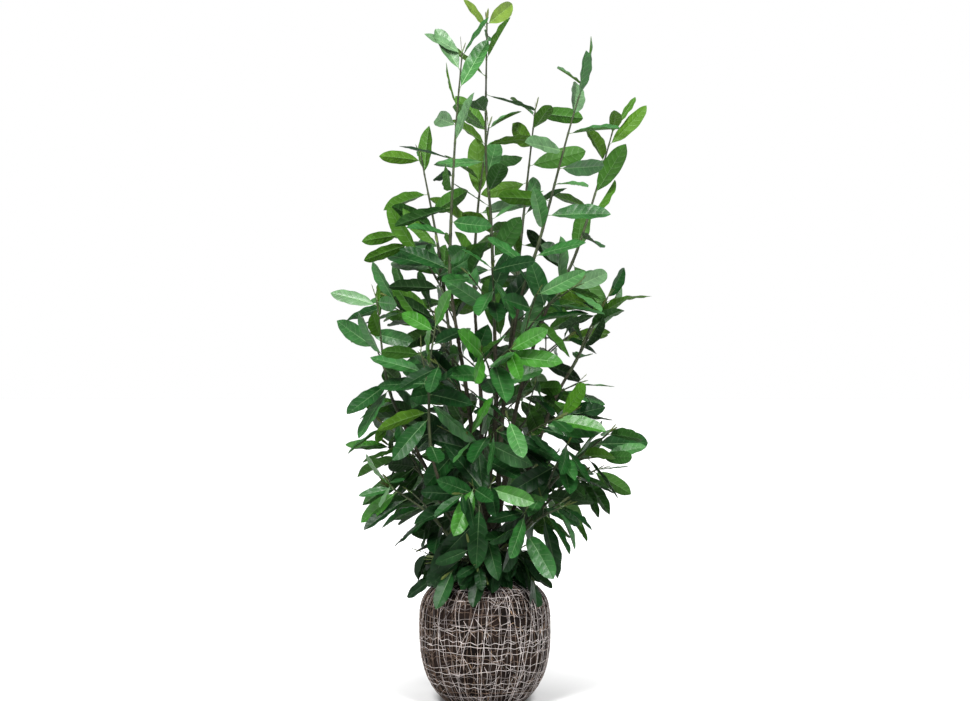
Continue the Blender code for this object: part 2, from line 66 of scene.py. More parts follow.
BALL_LOWER_REACH = 0.221
BALL_UPPER_REACH = 0.1335
BALL_LOWER_POWER = 2.4
BALL_UPPER_POWER = 3.4
BALL_SIDES = 28
BALL_RINGS = 11
BALL_LUMP = 0.010

# Trunk and limbs
TRUNK_FORK = 0.520
TRUNK_FOOT_RADIUS = 0.019
TRUNK_FORK_RADIUS = 0.015
TRUNK_FLARE = 0.011
TRUNK_FLARE_HEIGHT = 0.035
TRUNK_SIDES = 10
TRUNK_RINGS = 6
TRUNK_RIDGE = 0.12
LIMB_SIDES = 6
LIMB_RING_STEP = 0.050
ELBOW = 0.050
ELBOW_RISE = 38
CROWN_RADIUS = 0.0038
TIP_RADIUS = 0.0014
TWIG_RADIUS = 0.0021
TWIG_SIDES = 3
TWIG_RING_STEP = 0.065
SPRAY_ARCH = 0.10
JOINT_GAP = 0.0003
SEAT_STEP = 0.002
SEAT_HALVINGS = 10

# A mass's side twigs: how far along its stem they start, how they turn, rise and bend, and their length
TWIG_START = 0.24
TWIG_APART = 0.30
TWIG_TURNS = (-48, 44)
TWIG_RISE = 6
TWIG_BEND = -18
TWIG_SHARE = 0.56
TWIG_LOSS = 0.10
TWIG_SLIMMER = 0.72

# Leaves
LEAF_LENGTH = 0.156
LEAF_ASPECT = 0.38
LEAF_THICKNESS = 0.015
LEAF_FOLD = 0.20
LEAF_DROOP = 0.10
LEAF_SPREAD = 52
LEAF_CROWDING = 1.25
LEAF_TURN = 137.5
LEAF_ROLL = 34
LEAF_FACING = 1.6
LEAF_RISE_SPREAD = 23
LEAF_SAG = 4
LEAF_OUTWARD = 0.45
LEAF_TRIES = (0, 24, -24, 48, -48, 80, -80)
LENGTH_SPREAD = (0.86, 1.10)
WIDTH_SPREAD = (0.92, 1.08)
FIRST_LEAF = 0.02
BARE_ENDS = 0.045
TIP_LEAVES = ((0.006, 0), (0.015, 180))
TIP_LEAF_SIZE = 0.82
LEAF_GAP = 0.0009
OUTER_SHARE = 0.92
LOW_LEAF_STEP = 0.038
LOW_LEVEL = 0.40
LOW_PITCH = -50
PITCH_PER_METRE = 78
STEEPEST_PITCH = 48
PITCH_WEIGHT = 0.60
MASS_INTRUSION = 0.055

# The smaller, broader leaves of the skirt, which hang over the ball's shoulder
SKIRT_LEAF_SIZE = 0.60
SKIRT_LEAF_BREADTH = 1.22
SKIRT_LEAF_STEP = 0.0135
SKIRT_PITCH_WEIGHT = 1.0

Limb = namedtuple("Limb", "name host height azimuth points crown_from foot_radius twigs leaf_step seed")
Spray = namedtuple("Spray", "name host height azimuth reach tip twigs seed")
Leaf = namedtuple("Leaf", "root direction normal length width")

# The stems and low boughs, with the points that each one passes through on its way to its tip
LIMBS = (
    Limb("stem_centre", "trunk", 0.520, 90, ((0.028, 0.00, 0.75), (0.026, 0.00, 0.98),
         (0.016, 0.00, 1.28), (0.002, 0.00, 1.47), (0.005, -0.01, 1.81)), 1.10, 0.0085, 0, 0.040, 139),
    Limb("stem_left", "trunk", 0.455, 200, ((-0.035, -0.04, 0.72), (-0.085, -0.07, 1.06),
         (-0.092, -0.08, 1.20), (-0.078, -0.08, 1.50), (-0.060, -0.08, 1.72)), 1.12, 0.0080, 0, 0.040, 5070),
    Limb("stem_right", "trunk", 0.470, 315, ((0.050, -0.06, 0.80), (0.088, -0.10, 1.05),
         (0.144, -0.12, 1.23), (0.216, -0.13, 1.50), (0.258, -0.13, 1.64)), 1.10, 0.0078, 0, 0.040, 1049),
    Limb("stem_far_right", "trunk", 0.430, 35, ((0.085, 0.07, 0.78), (0.165, 0.10, 1.04),
         (0.240, 0.12, 1.18), (0.300, 0.13, 1.36), (0.352, 0.13, 1.545)), 1.10, 0.0075, 0, 0.040, 5240),
    Limb("stem_back", "trunk", 0.480, 105, ((-0.010, 0.10, 0.78), (-0.030, 0.19, 1.10),
         (-0.020, 0.22, 1.33), (0.010, 0.23, 1.56)), 1.10, 0.0072, 0, 0.040, 74),
    Limb("stem_back_right", "stem_centre", 0.740, 60, ((0.075, 0.08, 1.02), (0.112, 0.17, 1.36),
         (0.139, 0.19, 1.60)), 1.10, 0.0050, 0, 0.044, 5220),
    Limb("stem_back_left", "stem_left", 0.760, 140, ((-0.098, 0.03, 1.00), (-0.128, 0.11, 1.22),
         (-0.176, 0.13, 1.47)), 1.08, 0.0048, 0, 0.044, 5046),
    Limb("stem_far_left", "trunk", 0.400, 182, ((-0.120, -0.04, 0.56), (-0.222, -0.05, 0.755),
         (-0.262, -0.06, 0.87), (-0.285, -0.06, 1.07)), 0.74, 0.0060, 1, 0.044, 5054),
    Limb("stem_front_left", "trunk", 0.415, 238, ((-0.090, -0.11, 0.53), (-0.140, -0.15, 0.68),
         (-0.142, -0.16, 0.89), (-0.128, -0.16, 1.00)), 0.66, 0.0058, 1, 0.044, 5288),
    Limb("stem_outer_right", "trunk", 0.395, 0, ((0.110, 0.00, 0.60), (0.185, 0.01, 0.80),
         (0.250, 0.02, 0.92), (0.330, 0.03, 1.08)), 0.88, 0.0060, 1, 0.044, 5045),
    Limb("bough_right", "trunk", 0.362, 343, ((0.100, -0.04, 0.47), (0.190, -0.06, 0.60),
         (0.325, -0.09, 0.72)), 0.50, 0.0052, 2, 0.036, 63),
    Limb("bough_right_back", "trunk", 0.370, 30, ((0.110, 0.06, 0.46), (0.210, 0.11, 0.56),
         (0.310, 0.15, 0.61)), 0.45, 0.0050, 2, 0.036, 5035),
    Limb("bough_right_low", "trunk", 0.352, 306, ((0.070, -0.08, 0.42), (0.130, -0.12, 0.49),
         (0.200, -0.14, 0.53)), 0.42, 0.0048, 2, 0.036, 5070),
    Limb("bough_left", "trunk", 0.380, 160, ((-0.090, 0.03, 0.48), (-0.170, 0.03, 0.60),
         (-0.255, 0.01, 0.68)), 0.48, 0.0052, 2, 0.036, 1007),
    Limb("bough_left_low", "trunk", 0.360, 215, ((-0.080, -0.06, 0.43), (-0.150, -0.09, 0.51),
         (-0.242, -0.10, 0.575)), 0.43, 0.0048, 1, 0.036, 1032),
    Limb("bough_front", "trunk", 0.385, 275, ((0.000, -0.10, 0.46), (-0.015, -0.16, 0.54),
         (-0.030, -0.22, 0.59)), 0.46, 0.0050, 2, 0.036, 5054),
    Limb("bough_back", "trunk", 0.385, 75, ((0.030, 0.10, 0.47), (0.060, 0.19, 0.57),
         (0.080, 0.28, 0.62)), 0.47, 0.0050, 2, 0.036, 5078),
    Limb("bough_back_left", "trunk", 0.365, 118, ((-0.050, 0.09, 0.45), (-0.120, 0.17, 0.55),
         (-0.170, 0.24, 0.60)), 0.45, 0.0050, 2, 0.036, 60),
)

# The side sprays, each from a height on its host to a tip at a reach and a height of its own
SPRAYS = (
    Spray("front_low_mid", "stem_centre", 0.600, 258, 0.200, 0.720, 2, 5049),
    Spray("front_mid", "stem_centre", 0.790, 268, 0.210, 0.930, 2, 5018),
    Spray("front_right_mid", "stem_right", 0.620, 312, 0.270, 0.760, 2, 5008),
    Spray("front_left_mid", "stem_left", 0.780, 240, 0.240, 0.900, 1, 5035),
    Spray("left_mid", "stem_left", 0.880, 178, 0.260, 1.060, 2, 5028),
    Spray("left_high", "stem_left", 1.040, 172, 0.235, 1.250, 1, 5080),
    Spray("far_left_low", "stem_far_left", 0.580, 188, 0.270, 0.740, 1, 5067),
    Spray("right_mid", "stem_far_right", 0.700, 350, 0.250, 0.850, 1, 1042),
    Spray("right_high", "stem_right", 0.920, 328, 0.270, 1.100, 2, 5010),
    Spray("far_right_back", "stem_far_right", 0.820, 42, 0.320, 0.980, 2, 5016),
    Spray("back_mid", "stem_back", 0.660, 82, 0.310, 0.810, 2, 5025),
    Spray("back_left_mid", "stem_back", 0.610, 134, 0.290, 0.770, 2, 5035),
    Spray("back_high", "stem_back", 0.890, 55, 0.300, 1.060, 1, 5041),
    Spray("back_left_high", "stem_back", 0.910, 140, 0.300, 1.090, 1, 1066),
    Spray("front_high", "stem_centre", 0.980, 276, 0.180, 1.150, 1, 5067),
    Spray("outer_right_low", "stem_outer_right", 0.560, 344, 0.330, 0.660, 1, 5066),
    Spray("skirt_front", "trunk", 0.350, 262, 0.148, 0.378, 1, 255),
    Spray("skirt_right", "trunk", 0.345, 328, 0.130, 0.380, 1, 187),
    Spray("skirt_back_right", "trunk", 0.350, 50, 0.130, 0.380, 1, 253),
    Spray("skirt_back_left", "trunk", 0.345, 128, 0.130, 0.380, 1, 156),
    Spray("skirt_left", "trunk", 0.350, 198, 0.130, 0.380, 1, 109),
)

# Fine leaf shape
PETIOLE_SHARE = 0.085
PETIOLE_OVERLAP = 0.02
PETIOLE_RADIUS = 0.00085
SMALL_PETIOLE_RADIUS = PETIOLE_RADIUS * 0.75
BLADE_WIDTH = 0.88
BLADE_WIDTHS = (0.84, 1.08)
BLADE_WIDEST = 0.53
BLADE_LEAST = 0.0002
BLUNTNESS = (0.0, 1.6)
BLADE_FOLDS = (0.2, 3.0)
BLADE_TWIST = 9
BLADE_SWAY = 0.018
BLADE_DROOPS = (0.4, 2.1)
BLADE_DROOP_POWER = 1.6
BLADE_ROW_SLANT = 0.15
BLADE_THICKNESS = 0.00040
VEIN_PAIRS = 7
VEIN_WIDTH = 0.0016
VEIN_DEPTH = 0.0019
MIDRIB_HALF = 0.0011
MIDRIB_KEEL = 0.0009
MIDRIB_SINK = 0.45
MARGIN_WAVE = 0.0020
MARGIN_WAVES = (2.4, 3.8)
MARGIN_CURL = 0.06
MARGIN_CURLS = (0.2, 2.5)

# Fine twigs, buds and young shoots
TWIG_AROUND = 7
TWIG_STOUT = 1.3
TWIG_SAMPLE = 0.006
TWIG_INTO_HOST = 0.006
NODE_SWELL = 0.00060
NODE_REACH = 0.0045
BUD_PLACES = np.array([0.0, 0.25, 0.55, 0.85, 1.0])
BUD_RADII = np.array([0.7, 1.0, 0.85, 0.4, 0.08])
BUD_LENGTH = 0.0048
BUD_RADIUS = 0.0011
TIP_BUD_LENGTH = 0.012
YOUNG_LEAVES = (0.026, 0.052)
YOUNG_ASPECT = 0.19
YOUNG_SPREAD = (0.12, 0.35)
YOUNG_TURN = 150
YOUNG_DROOP = -0.6
SHOOT_STEP = 0.18
SHOOT_TOP = 0.80
SKIRT_SHOOT_STEP = 0.022
SHOOT_LENGTHS = (0.035, 0.085)
SHOOT_RADIUS = 0.0012
SHOOT_TAPER = 0.6
SHOOT_BEND = 20
SHOOT_RING_STEP = 0.02
SHOOT_LEAVES = (0.55, 0.82, 0.96)
SHOOT_TRIES = (0, 60, -60, 120)
SMALL_LEAVES = (0.42, 0.72)
SMALL_VEIN_PAIRS = 5

# The heights at which the crown's middle and high regions begin
MIDDLE_FROM = 0.62
HIGH_FROM = 0.98

# How many of a mass's leaves farthest out still have the lime green of this year's growth
LIME_LEAVES = {
    "foliage_front_mid": 5, "foliage_front_right_mid": 2, "foliage_front_low_mid": 1, "foliage_left_mid": 1,
    "foliage_bough_left": 3, "foliage_bough_left_low": 2, "foliage_bough_front": 2,
    "foliage_crown_front_left": 3, "foliage_crown_centre": 2,
}
TOPMOST = "foliage_crown_centre"

# The tones of leaf, from the darkest to young ones: the colours of the upper side and the underside,
# and how pale the side veins are. The steps from deep to pale are partly the leaves' own tone and partly
# painted shade and light: darker low down and inside the crown, where shade falls, and paler near the top,
# where the light falls.
TONES = (
    # The undersides are lighter and yellower than the upper sides, partly by their own colour and partly as
    # painted light shining through the leaf
    ("deep", (0.0028, 0.0158, 0.0035), (0.006, 0.023, 0.004), 0.03),
    ("dark", (0.0052, 0.0310, 0.0057), (0.011, 0.044, 0.006), 0.06),
    ("mid", (0.0108, 0.0575, 0.0100), (0.019, 0.066, 0.006), 0.11),
    ("light", (0.0218, 0.085, 0.0178), (0.026, 0.080, 0.005), 0.16),
    ("pale", (0.045, 0.099, 0.040), (0.034, 0.088, 0.005), 0.18),
    ("lime", (0.016, 0.083, 0.005), (0.028, 0.092, 0.005), 0.10),
    ("fresh", (0.070, 0.118, 0.014), (0.072, 0.120, 0.015), 0.05),
    ("young", (0.050, 0.068, 0.018), (0.062, 0.080, 0.020), 0.05),
)
LIME = len(TONES) - 3
FRESH = len(TONES) - 2
YOUNG_TONE = len(TONES) - 1
VEIN_COLOUR = (0.26, 0.42, 0.20)
MIDRIB_PALER = 0.11
DULL_GLOSS = 0.10
LEAF_GLOSS = 0.26
ROUGHNESS_SPREAD = 0.07

# The parts of a leaf that have materials of their own
PARTS = 5

# How a leaf's height, reach and chance choose its tone: height and reach give painted shade to the low
# and inner leaves and painted light to the high ones
TONE_FOOT = 0.42
TONE_RISE = 1.38
TONE_REACH = 0.16
TONE_SPREAD = (0.10, 0.24)
TONE_LEVELS = (0.12, 0.38, 0.66, 0.92)

# Bark, with the fineness and the share of its waves and furrows
BARK_SIDES = 16
BARK_RING_STEP = 0.004
BARK_RELIEF = 0.0005
BARK_WAVES = (90, 1)
BARK_FURROWS = (420, 0.6)
LIMB_INTO_HOST = 0.008
COLLAR_SWELL = 0.45
COLLAR_REACH = 0.012
SCAR_HEIGHT = 0.0028
SCAR_SPREAD = 0.55
SCAR_STEPS = (0.026, 0.048)
SCAR_SWELL = 0.0011
RING_SWELL = 0.00025
GREEN_BELOW = 0.0055

# The root ball's net, with its strands' lifts and radii in radii of the twine
TWINE_RADIUS = 0.00066
KNOT_LENGTH = 0.03
KNOT_SIZE = 0.10
UPRIGHTS = 132
UPRIGHT_POINTS = 76
UPRIGHT_LIFTS = (-0.2, 1.3)
UPRIGHT_RADII = (0.75, 1.15)
HOOPS = 26
HOOP_POINTS = 220
HOOP_LIFTS = (0.6, 2.0)
HOOP_RADII = (0.85, 1.1)
THREADS = 900
THREAD_LENGTHS = (0.018, 0.075)
THREAD_LIFTS = (-0.5, 2.0)
THREAD_RADII = (0.6, 0.95)
TIES = 3
TIE_LIFT = 2.4
TIE_RADIUS = 1.5
NET_TOP = 0.90
COLLAR_RADIUS = 0.027
COLLAR_TOP = 0.352
EARTHY_SHARE = 0.10
EARTHY_AZIMUTH = math.radians(205)
NET_SEED = 7

# The kinds of twine: the two colours, roughness and specular level of each
TWINES = (
    ("twine", (0.165, 0.146, 0.140), (0.49, 0.446, 0.428), 0.85, 0.15),
    ("earthy twine", (0.042, 0.028, 0.021), (0.145, 0.103, 0.079), 0.90, 0.10),
    ("grey twine", (0.054, 0.045, 0.043), (0.185, 0.161, 0.155), 0.85, 0.15),
)

# The root ball's soil, with the fineness and the height of its clods, lumps and crumbs, and its fine roots
SOIL_SINK = 0.0030
SOIL_FOOT = 0.0015
SOIL_TOP = 0.93
SOIL_CLODS = (38, 0.0022)
SOIL_LUMPS = (120, 0.0013)
SOIL_CRUMBS = (330, 0.0012)
SOIL_ROWS = 116
SOIL_COLUMNS = 210
FINE_ROOTS = 90
ROOT_RADIUS = 0.0007
ROOT_SEED = 11

# Camera, as far from the plant as its picture's perspective shows
CAMERA_DISTANCE = 5.0
CAMERA_HEIGHT = 0.936
CAMERA_LENS = 69.45

# The lights
LIGHT_SIZE = 1.6
LIGHT_TARGET = (0, 0, 0.9)

# The surround's brightness at steps of its height, from low down to its top
SURROUND = ((0.20, 1), (0.30, 0.24), (0.60, 0.32), (0.88, 1.3))

# The floor shines a little itself away from the plant, so that it stays white where the lights don't reach
FLOOR_REACH = 30.0
FLOOR_SHADE = 0.56
FLOOR_GLOW = 0.80
FLOOR_GLOW_FROM = 0.19
FLOOR_GLOW_TO = 1.2


def heading(azimuth, rise):
    """The unit vector at an azimuth from +X towards +Y and a rise above level, both in degrees."""
    a, e = math.radians(azimuth), math.radians(rise)
    return Vector((math.cos(a) * math.cos(e), math.sin(a) * math.cos(e), math.sin(e)))


def mixed(a, b, share):
    return a + (b - a) * share


class Path:
    """A smooth line with a radius that tapers from its foot to its tip."""

    SAMPLE = 0.004

    def __init__(self, points, foot_radius, tip_radius):
        self.points = points
        self.foot_radius = foot_radius
        self.tip_radius = tip_radius
        self.distances = [0.0]
        for a, b in zip(points, points[1:]):
            self.distances.append(self.distances[-1] + (b - a).length)
        self.length = self.distances[-1]

    @classmethod
    def through(cls, guides, foot_radius, tip_radius):
        """A Catmull-Rom curve through the guide points."""
        guides = [Vector(g) for g in guides]
        ends = [guides[0] * 2 - guides[1], *guides, guides[-1] * 2 - guides[-2]]
        points = [guides[0]]
        for p0, p1, p2, p3 in zip(ends, ends[1:], ends[2:], ends[3:]):
            count = max(2, round((p2 - p1).length / cls.SAMPLE))
            for i in range(1, count + 1):
                t = i / count
                points.append(0.5 * (2 * p1 + (p2 - p0) * t + (2 * p0 - 5 * p1 + 4 * p2 - p3) * t * t
                                     + (3 * p1 - p0 - 3 * p2 + p3) * t ** 3))
        return cls(points, foot_radius, tip_radius)

    @classmethod
    def bent(cls, start, azimuth, rise, bend, length, foot_radius, tip_radius):
        """A line that leaves at an azimuth and a rise, and bends up or down by `bend` degrees on its way."""
        count = max(3, round(length / cls.SAMPLE))
        points = [Vector(start)]
        for i in range(count):
            t = (i + 0.5) / count
            step = heading(azimuth, rise + bend * t)
            points.append(points[-1] + step * (length / count))
        return cls(points, foot_radius, tip_radius)

    def at(self, distance):
        """The point and the direction at this distance from the foot."""
        distance = min(max(distance, 0.0), self.length)
        share = distance / self.length * (len(self.points) - 1)
        i = min(int(share), len(self.points) - 2)
        while i > 0 and self.distances[i] > distance:
            i -= 1
        while i < len(self.points) - 2 and self.distances[i + 1] < distance:
            i += 1
        a, b = self.points[i], self.points[i + 1]
        step = self.distances[i + 1] - self.distances[i]
        before = self.points[max(i - 3, 0)]
        after = self.points[min(i + 4, len(self.points) - 1)]
        return a.lerp(b, (distance - self.distances[i]) / step), (after - before).normalized()

    def radius(self, distance):
        return mixed(self.foot_radius, self.tip_radius, distance / self.length)

    def cut(self, start, end):
        """The stretch between two distances, with the radii it has there."""
        inner = [p for p, d in zip(self.points, self.distances) if start + 1e-4 < d < end - 1e-4]
        points = [self.at(start)[0], *inner, self.at(end)[0]]
        return Path(points, self.radius(start), self.radius(end))

    def distance_at_height(self, height):
        """How far from the foot the line first reaches this height."""
        for a, b, d in zip(self.points, self.points[1:], self.distances):
            if a.z <= height < b.z:
                return d + (b - a).length * (height - a.z) / (b.z - a.z)
        return self.length


def facet_axis(path, distance):
    """The point at this distance on the straight axis of a twig's own facets, and the path's direction."""
    count = max(1, round(path.length / TWIG_RING_STEP))
    share = min(distance / path.length * count, count - 1e-6)
    a = path.at(path.length * int(share) / count)[0]
    b = path.at(path.length * (int(share) + 1) / count)[0]
    return a.lerp(b, share - int(share)), path.at(distance)[1]


def skin_faces(rings, sides):
    """The walls between rings of corners, and the two flat ends."""
    faces = []
    for i in range(rings - 1):
        for k in range(sides):
            a, b = i * sides + k, i * sides + (k + 1) % sides
            faces.append((a, b, b + sides, a + sides))
    faces.append(tuple(range(sides))[::-1])
    faces.append(tuple(range((rings - 1) * sides, rings * sides)))
    return faces


def tube(path, sides=TWIG_SIDES, step=TWIG_RING_STEP):
    """The vertices and faces of a closed tapering tube."""
    count = max(1, round(path.length / step))
    verts, side = [], None
    for i in range(count + 1):
        distance = path.length * i / count
        point, along = path.at(distance)
        if side is None:
            side = along.orthogonal()
        side = (side - along * side.dot(along)).normalized()
        across = along.cross(side)
        for k in range(sides):
            a = 2 * math.pi * k / sides
            verts.append(point + (side * math.cos(a) + across * math.sin(a)) * path.radius(distance))
    return verts, skin_faces(count + 1, sides)


def level_ring(height, sides, radius_at):
    """The corners of a level ring round the plant's axis."""
    corners = []
    for k in range(sides):
        a = 2 * math.pi * k / sides
        radius = radius_at(a)
        corners.append(Vector((radius * math.cos(a), radius * math.sin(a), height)))
    return corners


def lump(azimuth, height):
    """How far the root ball's side stands out or in, from -1 to 1."""
    return np.sin(2 * azimuth + 0.7) * 0.5 + np.sin(3 * azimuth + 9 * height + 2.1) * 0.5


def ball_radius(height, azimuth):
    """The root ball's radius: two superellipses that meet at its widest ring, pressed into shallow lumps."""
    if height < BALL_WIDEST:
        reach, power = BALL_LOWER_REACH, BALL_LOWER_POWER
    else:
        reach, power = BALL_UPPER_REACH, BALL_UPPER_POWER
    share = abs(height - BALL_WIDEST) / reach
    return BALL_RADIUS * (1 - share ** power) ** (1 / power) * (1 + BALL_LUMP * lump(azimuth, height))


def ball_shape():
    """The netted root ball, from its flat underside to the small flat that the trunk stands on."""
    verts = []
    for i in range(BALL_RINGS + 1):
        height = BALL_TOP * (1 - math.cos(math.pi * (i + 0.6) / (BALL_RINGS + 0.6))) / 2
        height = 0.0 if i == 0 else min(height, BALL_TOP)
        verts += level_ring(height, BALL_SIDES, lambda a: ball_radius(height, a))
    return verts, skin_faces(BALL_RINGS + 1, BALL_SIDES)


def trunk_shape():
    """The short trunk, from its flared flat foot on the ball to the flat where it forks."""
    foot = BALL_TOP + JOINT_GAP
    verts = []
    for i in range(TRUNK_RINGS + 1):
        height = mixed(foot, TRUNK_FORK, (i / TRUNK_RINGS) ** 1.4)
        share = (height - foot) / (TRUNK_FORK - foot)
        flare = TRUNK_FLARE * math.exp(-(height - foot) / TRUNK_FLARE_HEIGHT)
        radius = mixed(TRUNK_FOOT_RADIUS, TRUNK_FORK_RADIUS, share) + flare

        def ridged(azimuth):
            return radius * (1 + TRUNK_RIDGE * math.cos(4 * azimuth + 0.5) * (1 - share))

        verts += level_ring(height, TRUNK_SIDES, ridged)
    return verts, skin_faces(TRUNK_RINGS + 1, TRUNK_SIDES)


def bvh(verts, faces):
    return BVHTree.FromPolygons([tuple(v) for v in verts], faces)


def stands_clear(path, tree, sides, step):
    """Whether a tube's foot keeps its gap from a solid and the rest of it stays outside."""
    verts, faces = tube(path, sides, step)
    if bvh(verts, faces).overlap(tree):
        return False
    foot = verts[:sides]
    foot += [(a + b) / 2 for a, b in zip(foot, foot[1:] + foot[:1])]
    return all(tree.find_nearest(corner)[3] >= JOINT_GAP for corner in foot)


def seated(path, tree, sides=TWIG_SIDES, step=TWIG_RING_STEP):
    """The part of a path that lies clear of the solid it grows from, with a hair's gap between them."""
    low, high = 0.0, 0.0
    while not stands_clear(path.cut(high, path.length), tree, sides, step):
        low, high = high, high + SEAT_STEP
    for _ in range(SEAT_HALVINGS):
        middle = (low + high) / 2
        if stands_clear(path.cut(middle, path.length), tree, sides, step):
            high = middle
        else:
            low = middle
    return path.cut(high, path.length)


def leaf_solid(leaf, spare=0.0):
    """A keeled blade of ten faces, arched over its length. `spare` thickens it, for tests of clearance."""
    along, normal = leaf.direction, leaf.normal
    side = along.cross(normal)
    half = leaf.width / 2

    def place(share, across, lift):
        return leaf.root + along * (leaf.length * share) + side * across + normal * lift

    fold, droop = LEAF_FOLD * half, LEAF_DROOP * leaf.length
    verts = [
        place(0, 0, spare / 2),
        place(0.30, -half * 0.82, fold * 0.8 + spare),
        place(0.70, -half * 0.96, fold - droop * 0.35 + spare),
        place(1, 0, -droop),
        place(0.70, half * 0.96, fold - droop * 0.35 + spare),
        place(0.30, half * 0.82, fold * 0.8 + spare),
        place(0.42, 0, -droop * 0.4 - LEAF_THICKNESS * leaf.length - spare),
    ]
    faces = [(0, 3, 1), (1, 3, 2), (0, 5, 3), (3, 5, 4),
             (0, 1, 6), (1, 2, 6), (2, 3, 6), (3, 4, 6), (4, 5, 6), (5, 0, 6)]
    return verts, faces


class Obstacle:
    """A solid that others keep clear of, with a sphere round it for a quick first test."""

    def __init__(self, verts, faces, owner):
        self.tree = bvh(verts, faces)
        self.centre = sum(verts, Vector()) / len(verts)
        self.reach = max((v - self.centre).length for v in verts)
        self.owner = owner

    def meets(self, other):
        near = (self.centre - other.centre).length < self.reach + other.reach
        return near and bool(self.tree.overlap(other.tree))

    def meets_others(self, obstacles):
        """Whether it touches any solid that isn't its own mass's."""
        return any(self.meets(other) for other in obstacles if other.owner != self.owner)


class Mass:
    """One mass of foliage while it grows."""

    def __init__(self, name, stem, leaf_step, twig_count, seed):
        self.name = name
        self.stem = stem
        self.leaf_step = leaf_step
        self.twig_count = twig_count
        self.twigs = []
        self.leaves = []
        self.seed = seed
        self.skirt = name.startswith("foliage_skirt")
        self.leaf_size = SKIRT_LEAF_SIZE if self.skirt else 1
        self.habit = (SKIRT_PITCH_WEIGHT, SKIRT_LEAF_BREADTH) if self.skirt else (PITCH_WEIGHT, 1.0)

    def distance_to(self, point):
        return min((p - point).length for p in self.stem.points[::6] + self.stem.points[-1:])


def leaf_pose(rng, point, along, spin, length, pitch_weight, breadth):
    """A leaf at a point of a twig: how it leaves the twig, hangs with the height, and turns to the light."""
    side = along.orthogonal().normalized()
    side = Matrix.Rotation(math.radians(spin), 3, along) @ side
    spread = math.radians(LEAF_SPREAD)
    natural = along * math.cos(spread) + side * math.sin(spread)
    level = Vector((natural.x, natural.y, 0))
    outward = Vector((point.x, point.y, 0))
    outward = outward / max(outward.length, 0.06)
    level = (level.normalized() + outward * LEAF_OUTWARD).normalized()
    pitch = LOW_PITCH + PITCH_PER_METRE * (point.z - LOW_LEVEL)
    rise = mixed(math.degrees(math.asin(natural.z)), min(pitch, STEEPEST_PITCH), pitch_weight)
    rise = math.radians(rise + rng.gauss(-LEAF_SAG, LEAF_RISE_SPREAD))
    direction = level * math.cos(rise) + Vector((0, 0, math.sin(rise)))
    normal = Vector((0, 0, 1)) + outward * LEAF_FACING
    normal = (normal - direction * normal.dot(direction)).normalized()
    normal = Matrix.Rotation(math.radians(rng.gauss(0, LEAF_ROLL)), 3, direction) @ normal
    length *= rng.uniform(*LENGTH_SPREAD)
    width = length * LEAF_ASPECT * breadth * rng.uniform(*WIDTH_SPREAD)
    return Leaf(point, direction, normal, length, width)


def leaf_fits(leaf, mass, masses, obstacles):
    """Whether a leaf keeps to its mass's own space, and clear of all but the twig that it grows from."""
    middle = leaf.root + leaf.direction * leaf.length * 0.6
    own = mass.distance_to(middle)
    if any(own - m.distance_to(middle) > MASS_INTRUSION for m in masses if m is not mass):
        return False
    past_root = leaf.root + leaf.direction * leaf.length * (1 - OUTER_SHARE)
    blade = leaf._replace(root=past_root, length=leaf.length * OUTER_SHARE)
    outer = Obstacle(*leaf_solid(blade, LEAF_GAP), mass.name)
    wholes = [Obstacle(*leaf_solid(leaf, spare), mass.name) for spare in (LEAF_GAP, 0)]
    for other in obstacles:
        shapes = [outer] if other.owner == mass.name else wholes
        if any(shape.meets(other) for shape in shapes):
            return False
    return True


def grow_leaf(mass, masses, obstacles, rng, point, along, spin, length):
    """Adds a leaf to a mass, tried at a few angles, and skipped where none is clear."""
    for turn in LEAF_TRIES:
        leaf = leaf_pose(rng, point, along, spin + turn, length * mass.leaf_size, *mass.habit)
        if leaf_fits(leaf, mass, masses, obstacles):
            mass.leaves.append(leaf)
            obstacles.append(Obstacle(*leaf_solid(leaf), mass.name))
            return


def grow_twigs(mass, obstacles):
    """Side twigs on the first part of a mass's stem, each skipped where it would touch something."""
    for i in range(mass.twig_count):
        place = mass.stem.length * (TWIG_START + TWIG_APART * i)
        point, along = facet_axis(mass.stem, place)
        azimuth = math.degrees(math.atan2(along.y, along.x)) + TWIG_TURNS[i % 2]
        rise = math.degrees(math.asin(along.z)) + TWIG_RISE
        length = mass.stem.length * (TWIG_SHARE - TWIG_LOSS * i)
        foot_radius = mass.stem.radius(place) * TWIG_SLIMMER
        twig = Path.bent(point, azimuth, rise, TWIG_BEND, length, foot_radius, TIP_RADIUS)
        solid = Obstacle(*tube(twig), mass.name)
        if not solid.meets_others(obstacles):
            mass.twigs.append(twig)
            obstacles.append(solid)


def grow_leaves(mass, masses, obstacles):
    """Leaves in a spiral along a mass's stem and twigs, closest at its foot, with a pair at each tip."""
    rng = random.Random(mass.seed)
    for path in (mass.stem, *mass.twigs):
        leafy = path.length - BARE_ENDS
        count = max(2, round(leafy / mass.leaf_step))
        spin = rng.uniform(0, 360)
        for i in range(count):
            share = ((i + 0.5) / count) ** LEAF_CROWDING
            point, along = facet_axis(path, FIRST_LEAF + leafy * share)
            size = LEAF_LENGTH * (1.0 - 0.15 * max(0.0, share - 0.7) / 0.3)
            grow_leaf(mass, masses, obstacles, rng, point, along, spin + LEAF_TURN * i, size)
        for back, turn in TIP_LEAVES:
            point, along = facet_axis(path, path.length - back)
            grow_leaf(mass, masses, obstacles, rng, point, along, spin + turn, LEAF_LENGTH * TIP_LEAF_SIZE)


def start_of(row, paths):
    """The point of its host that a limb or a spray grows from."""
    host = paths[row.host]
    return host.at(host.distance_at_height(row.height))[0]


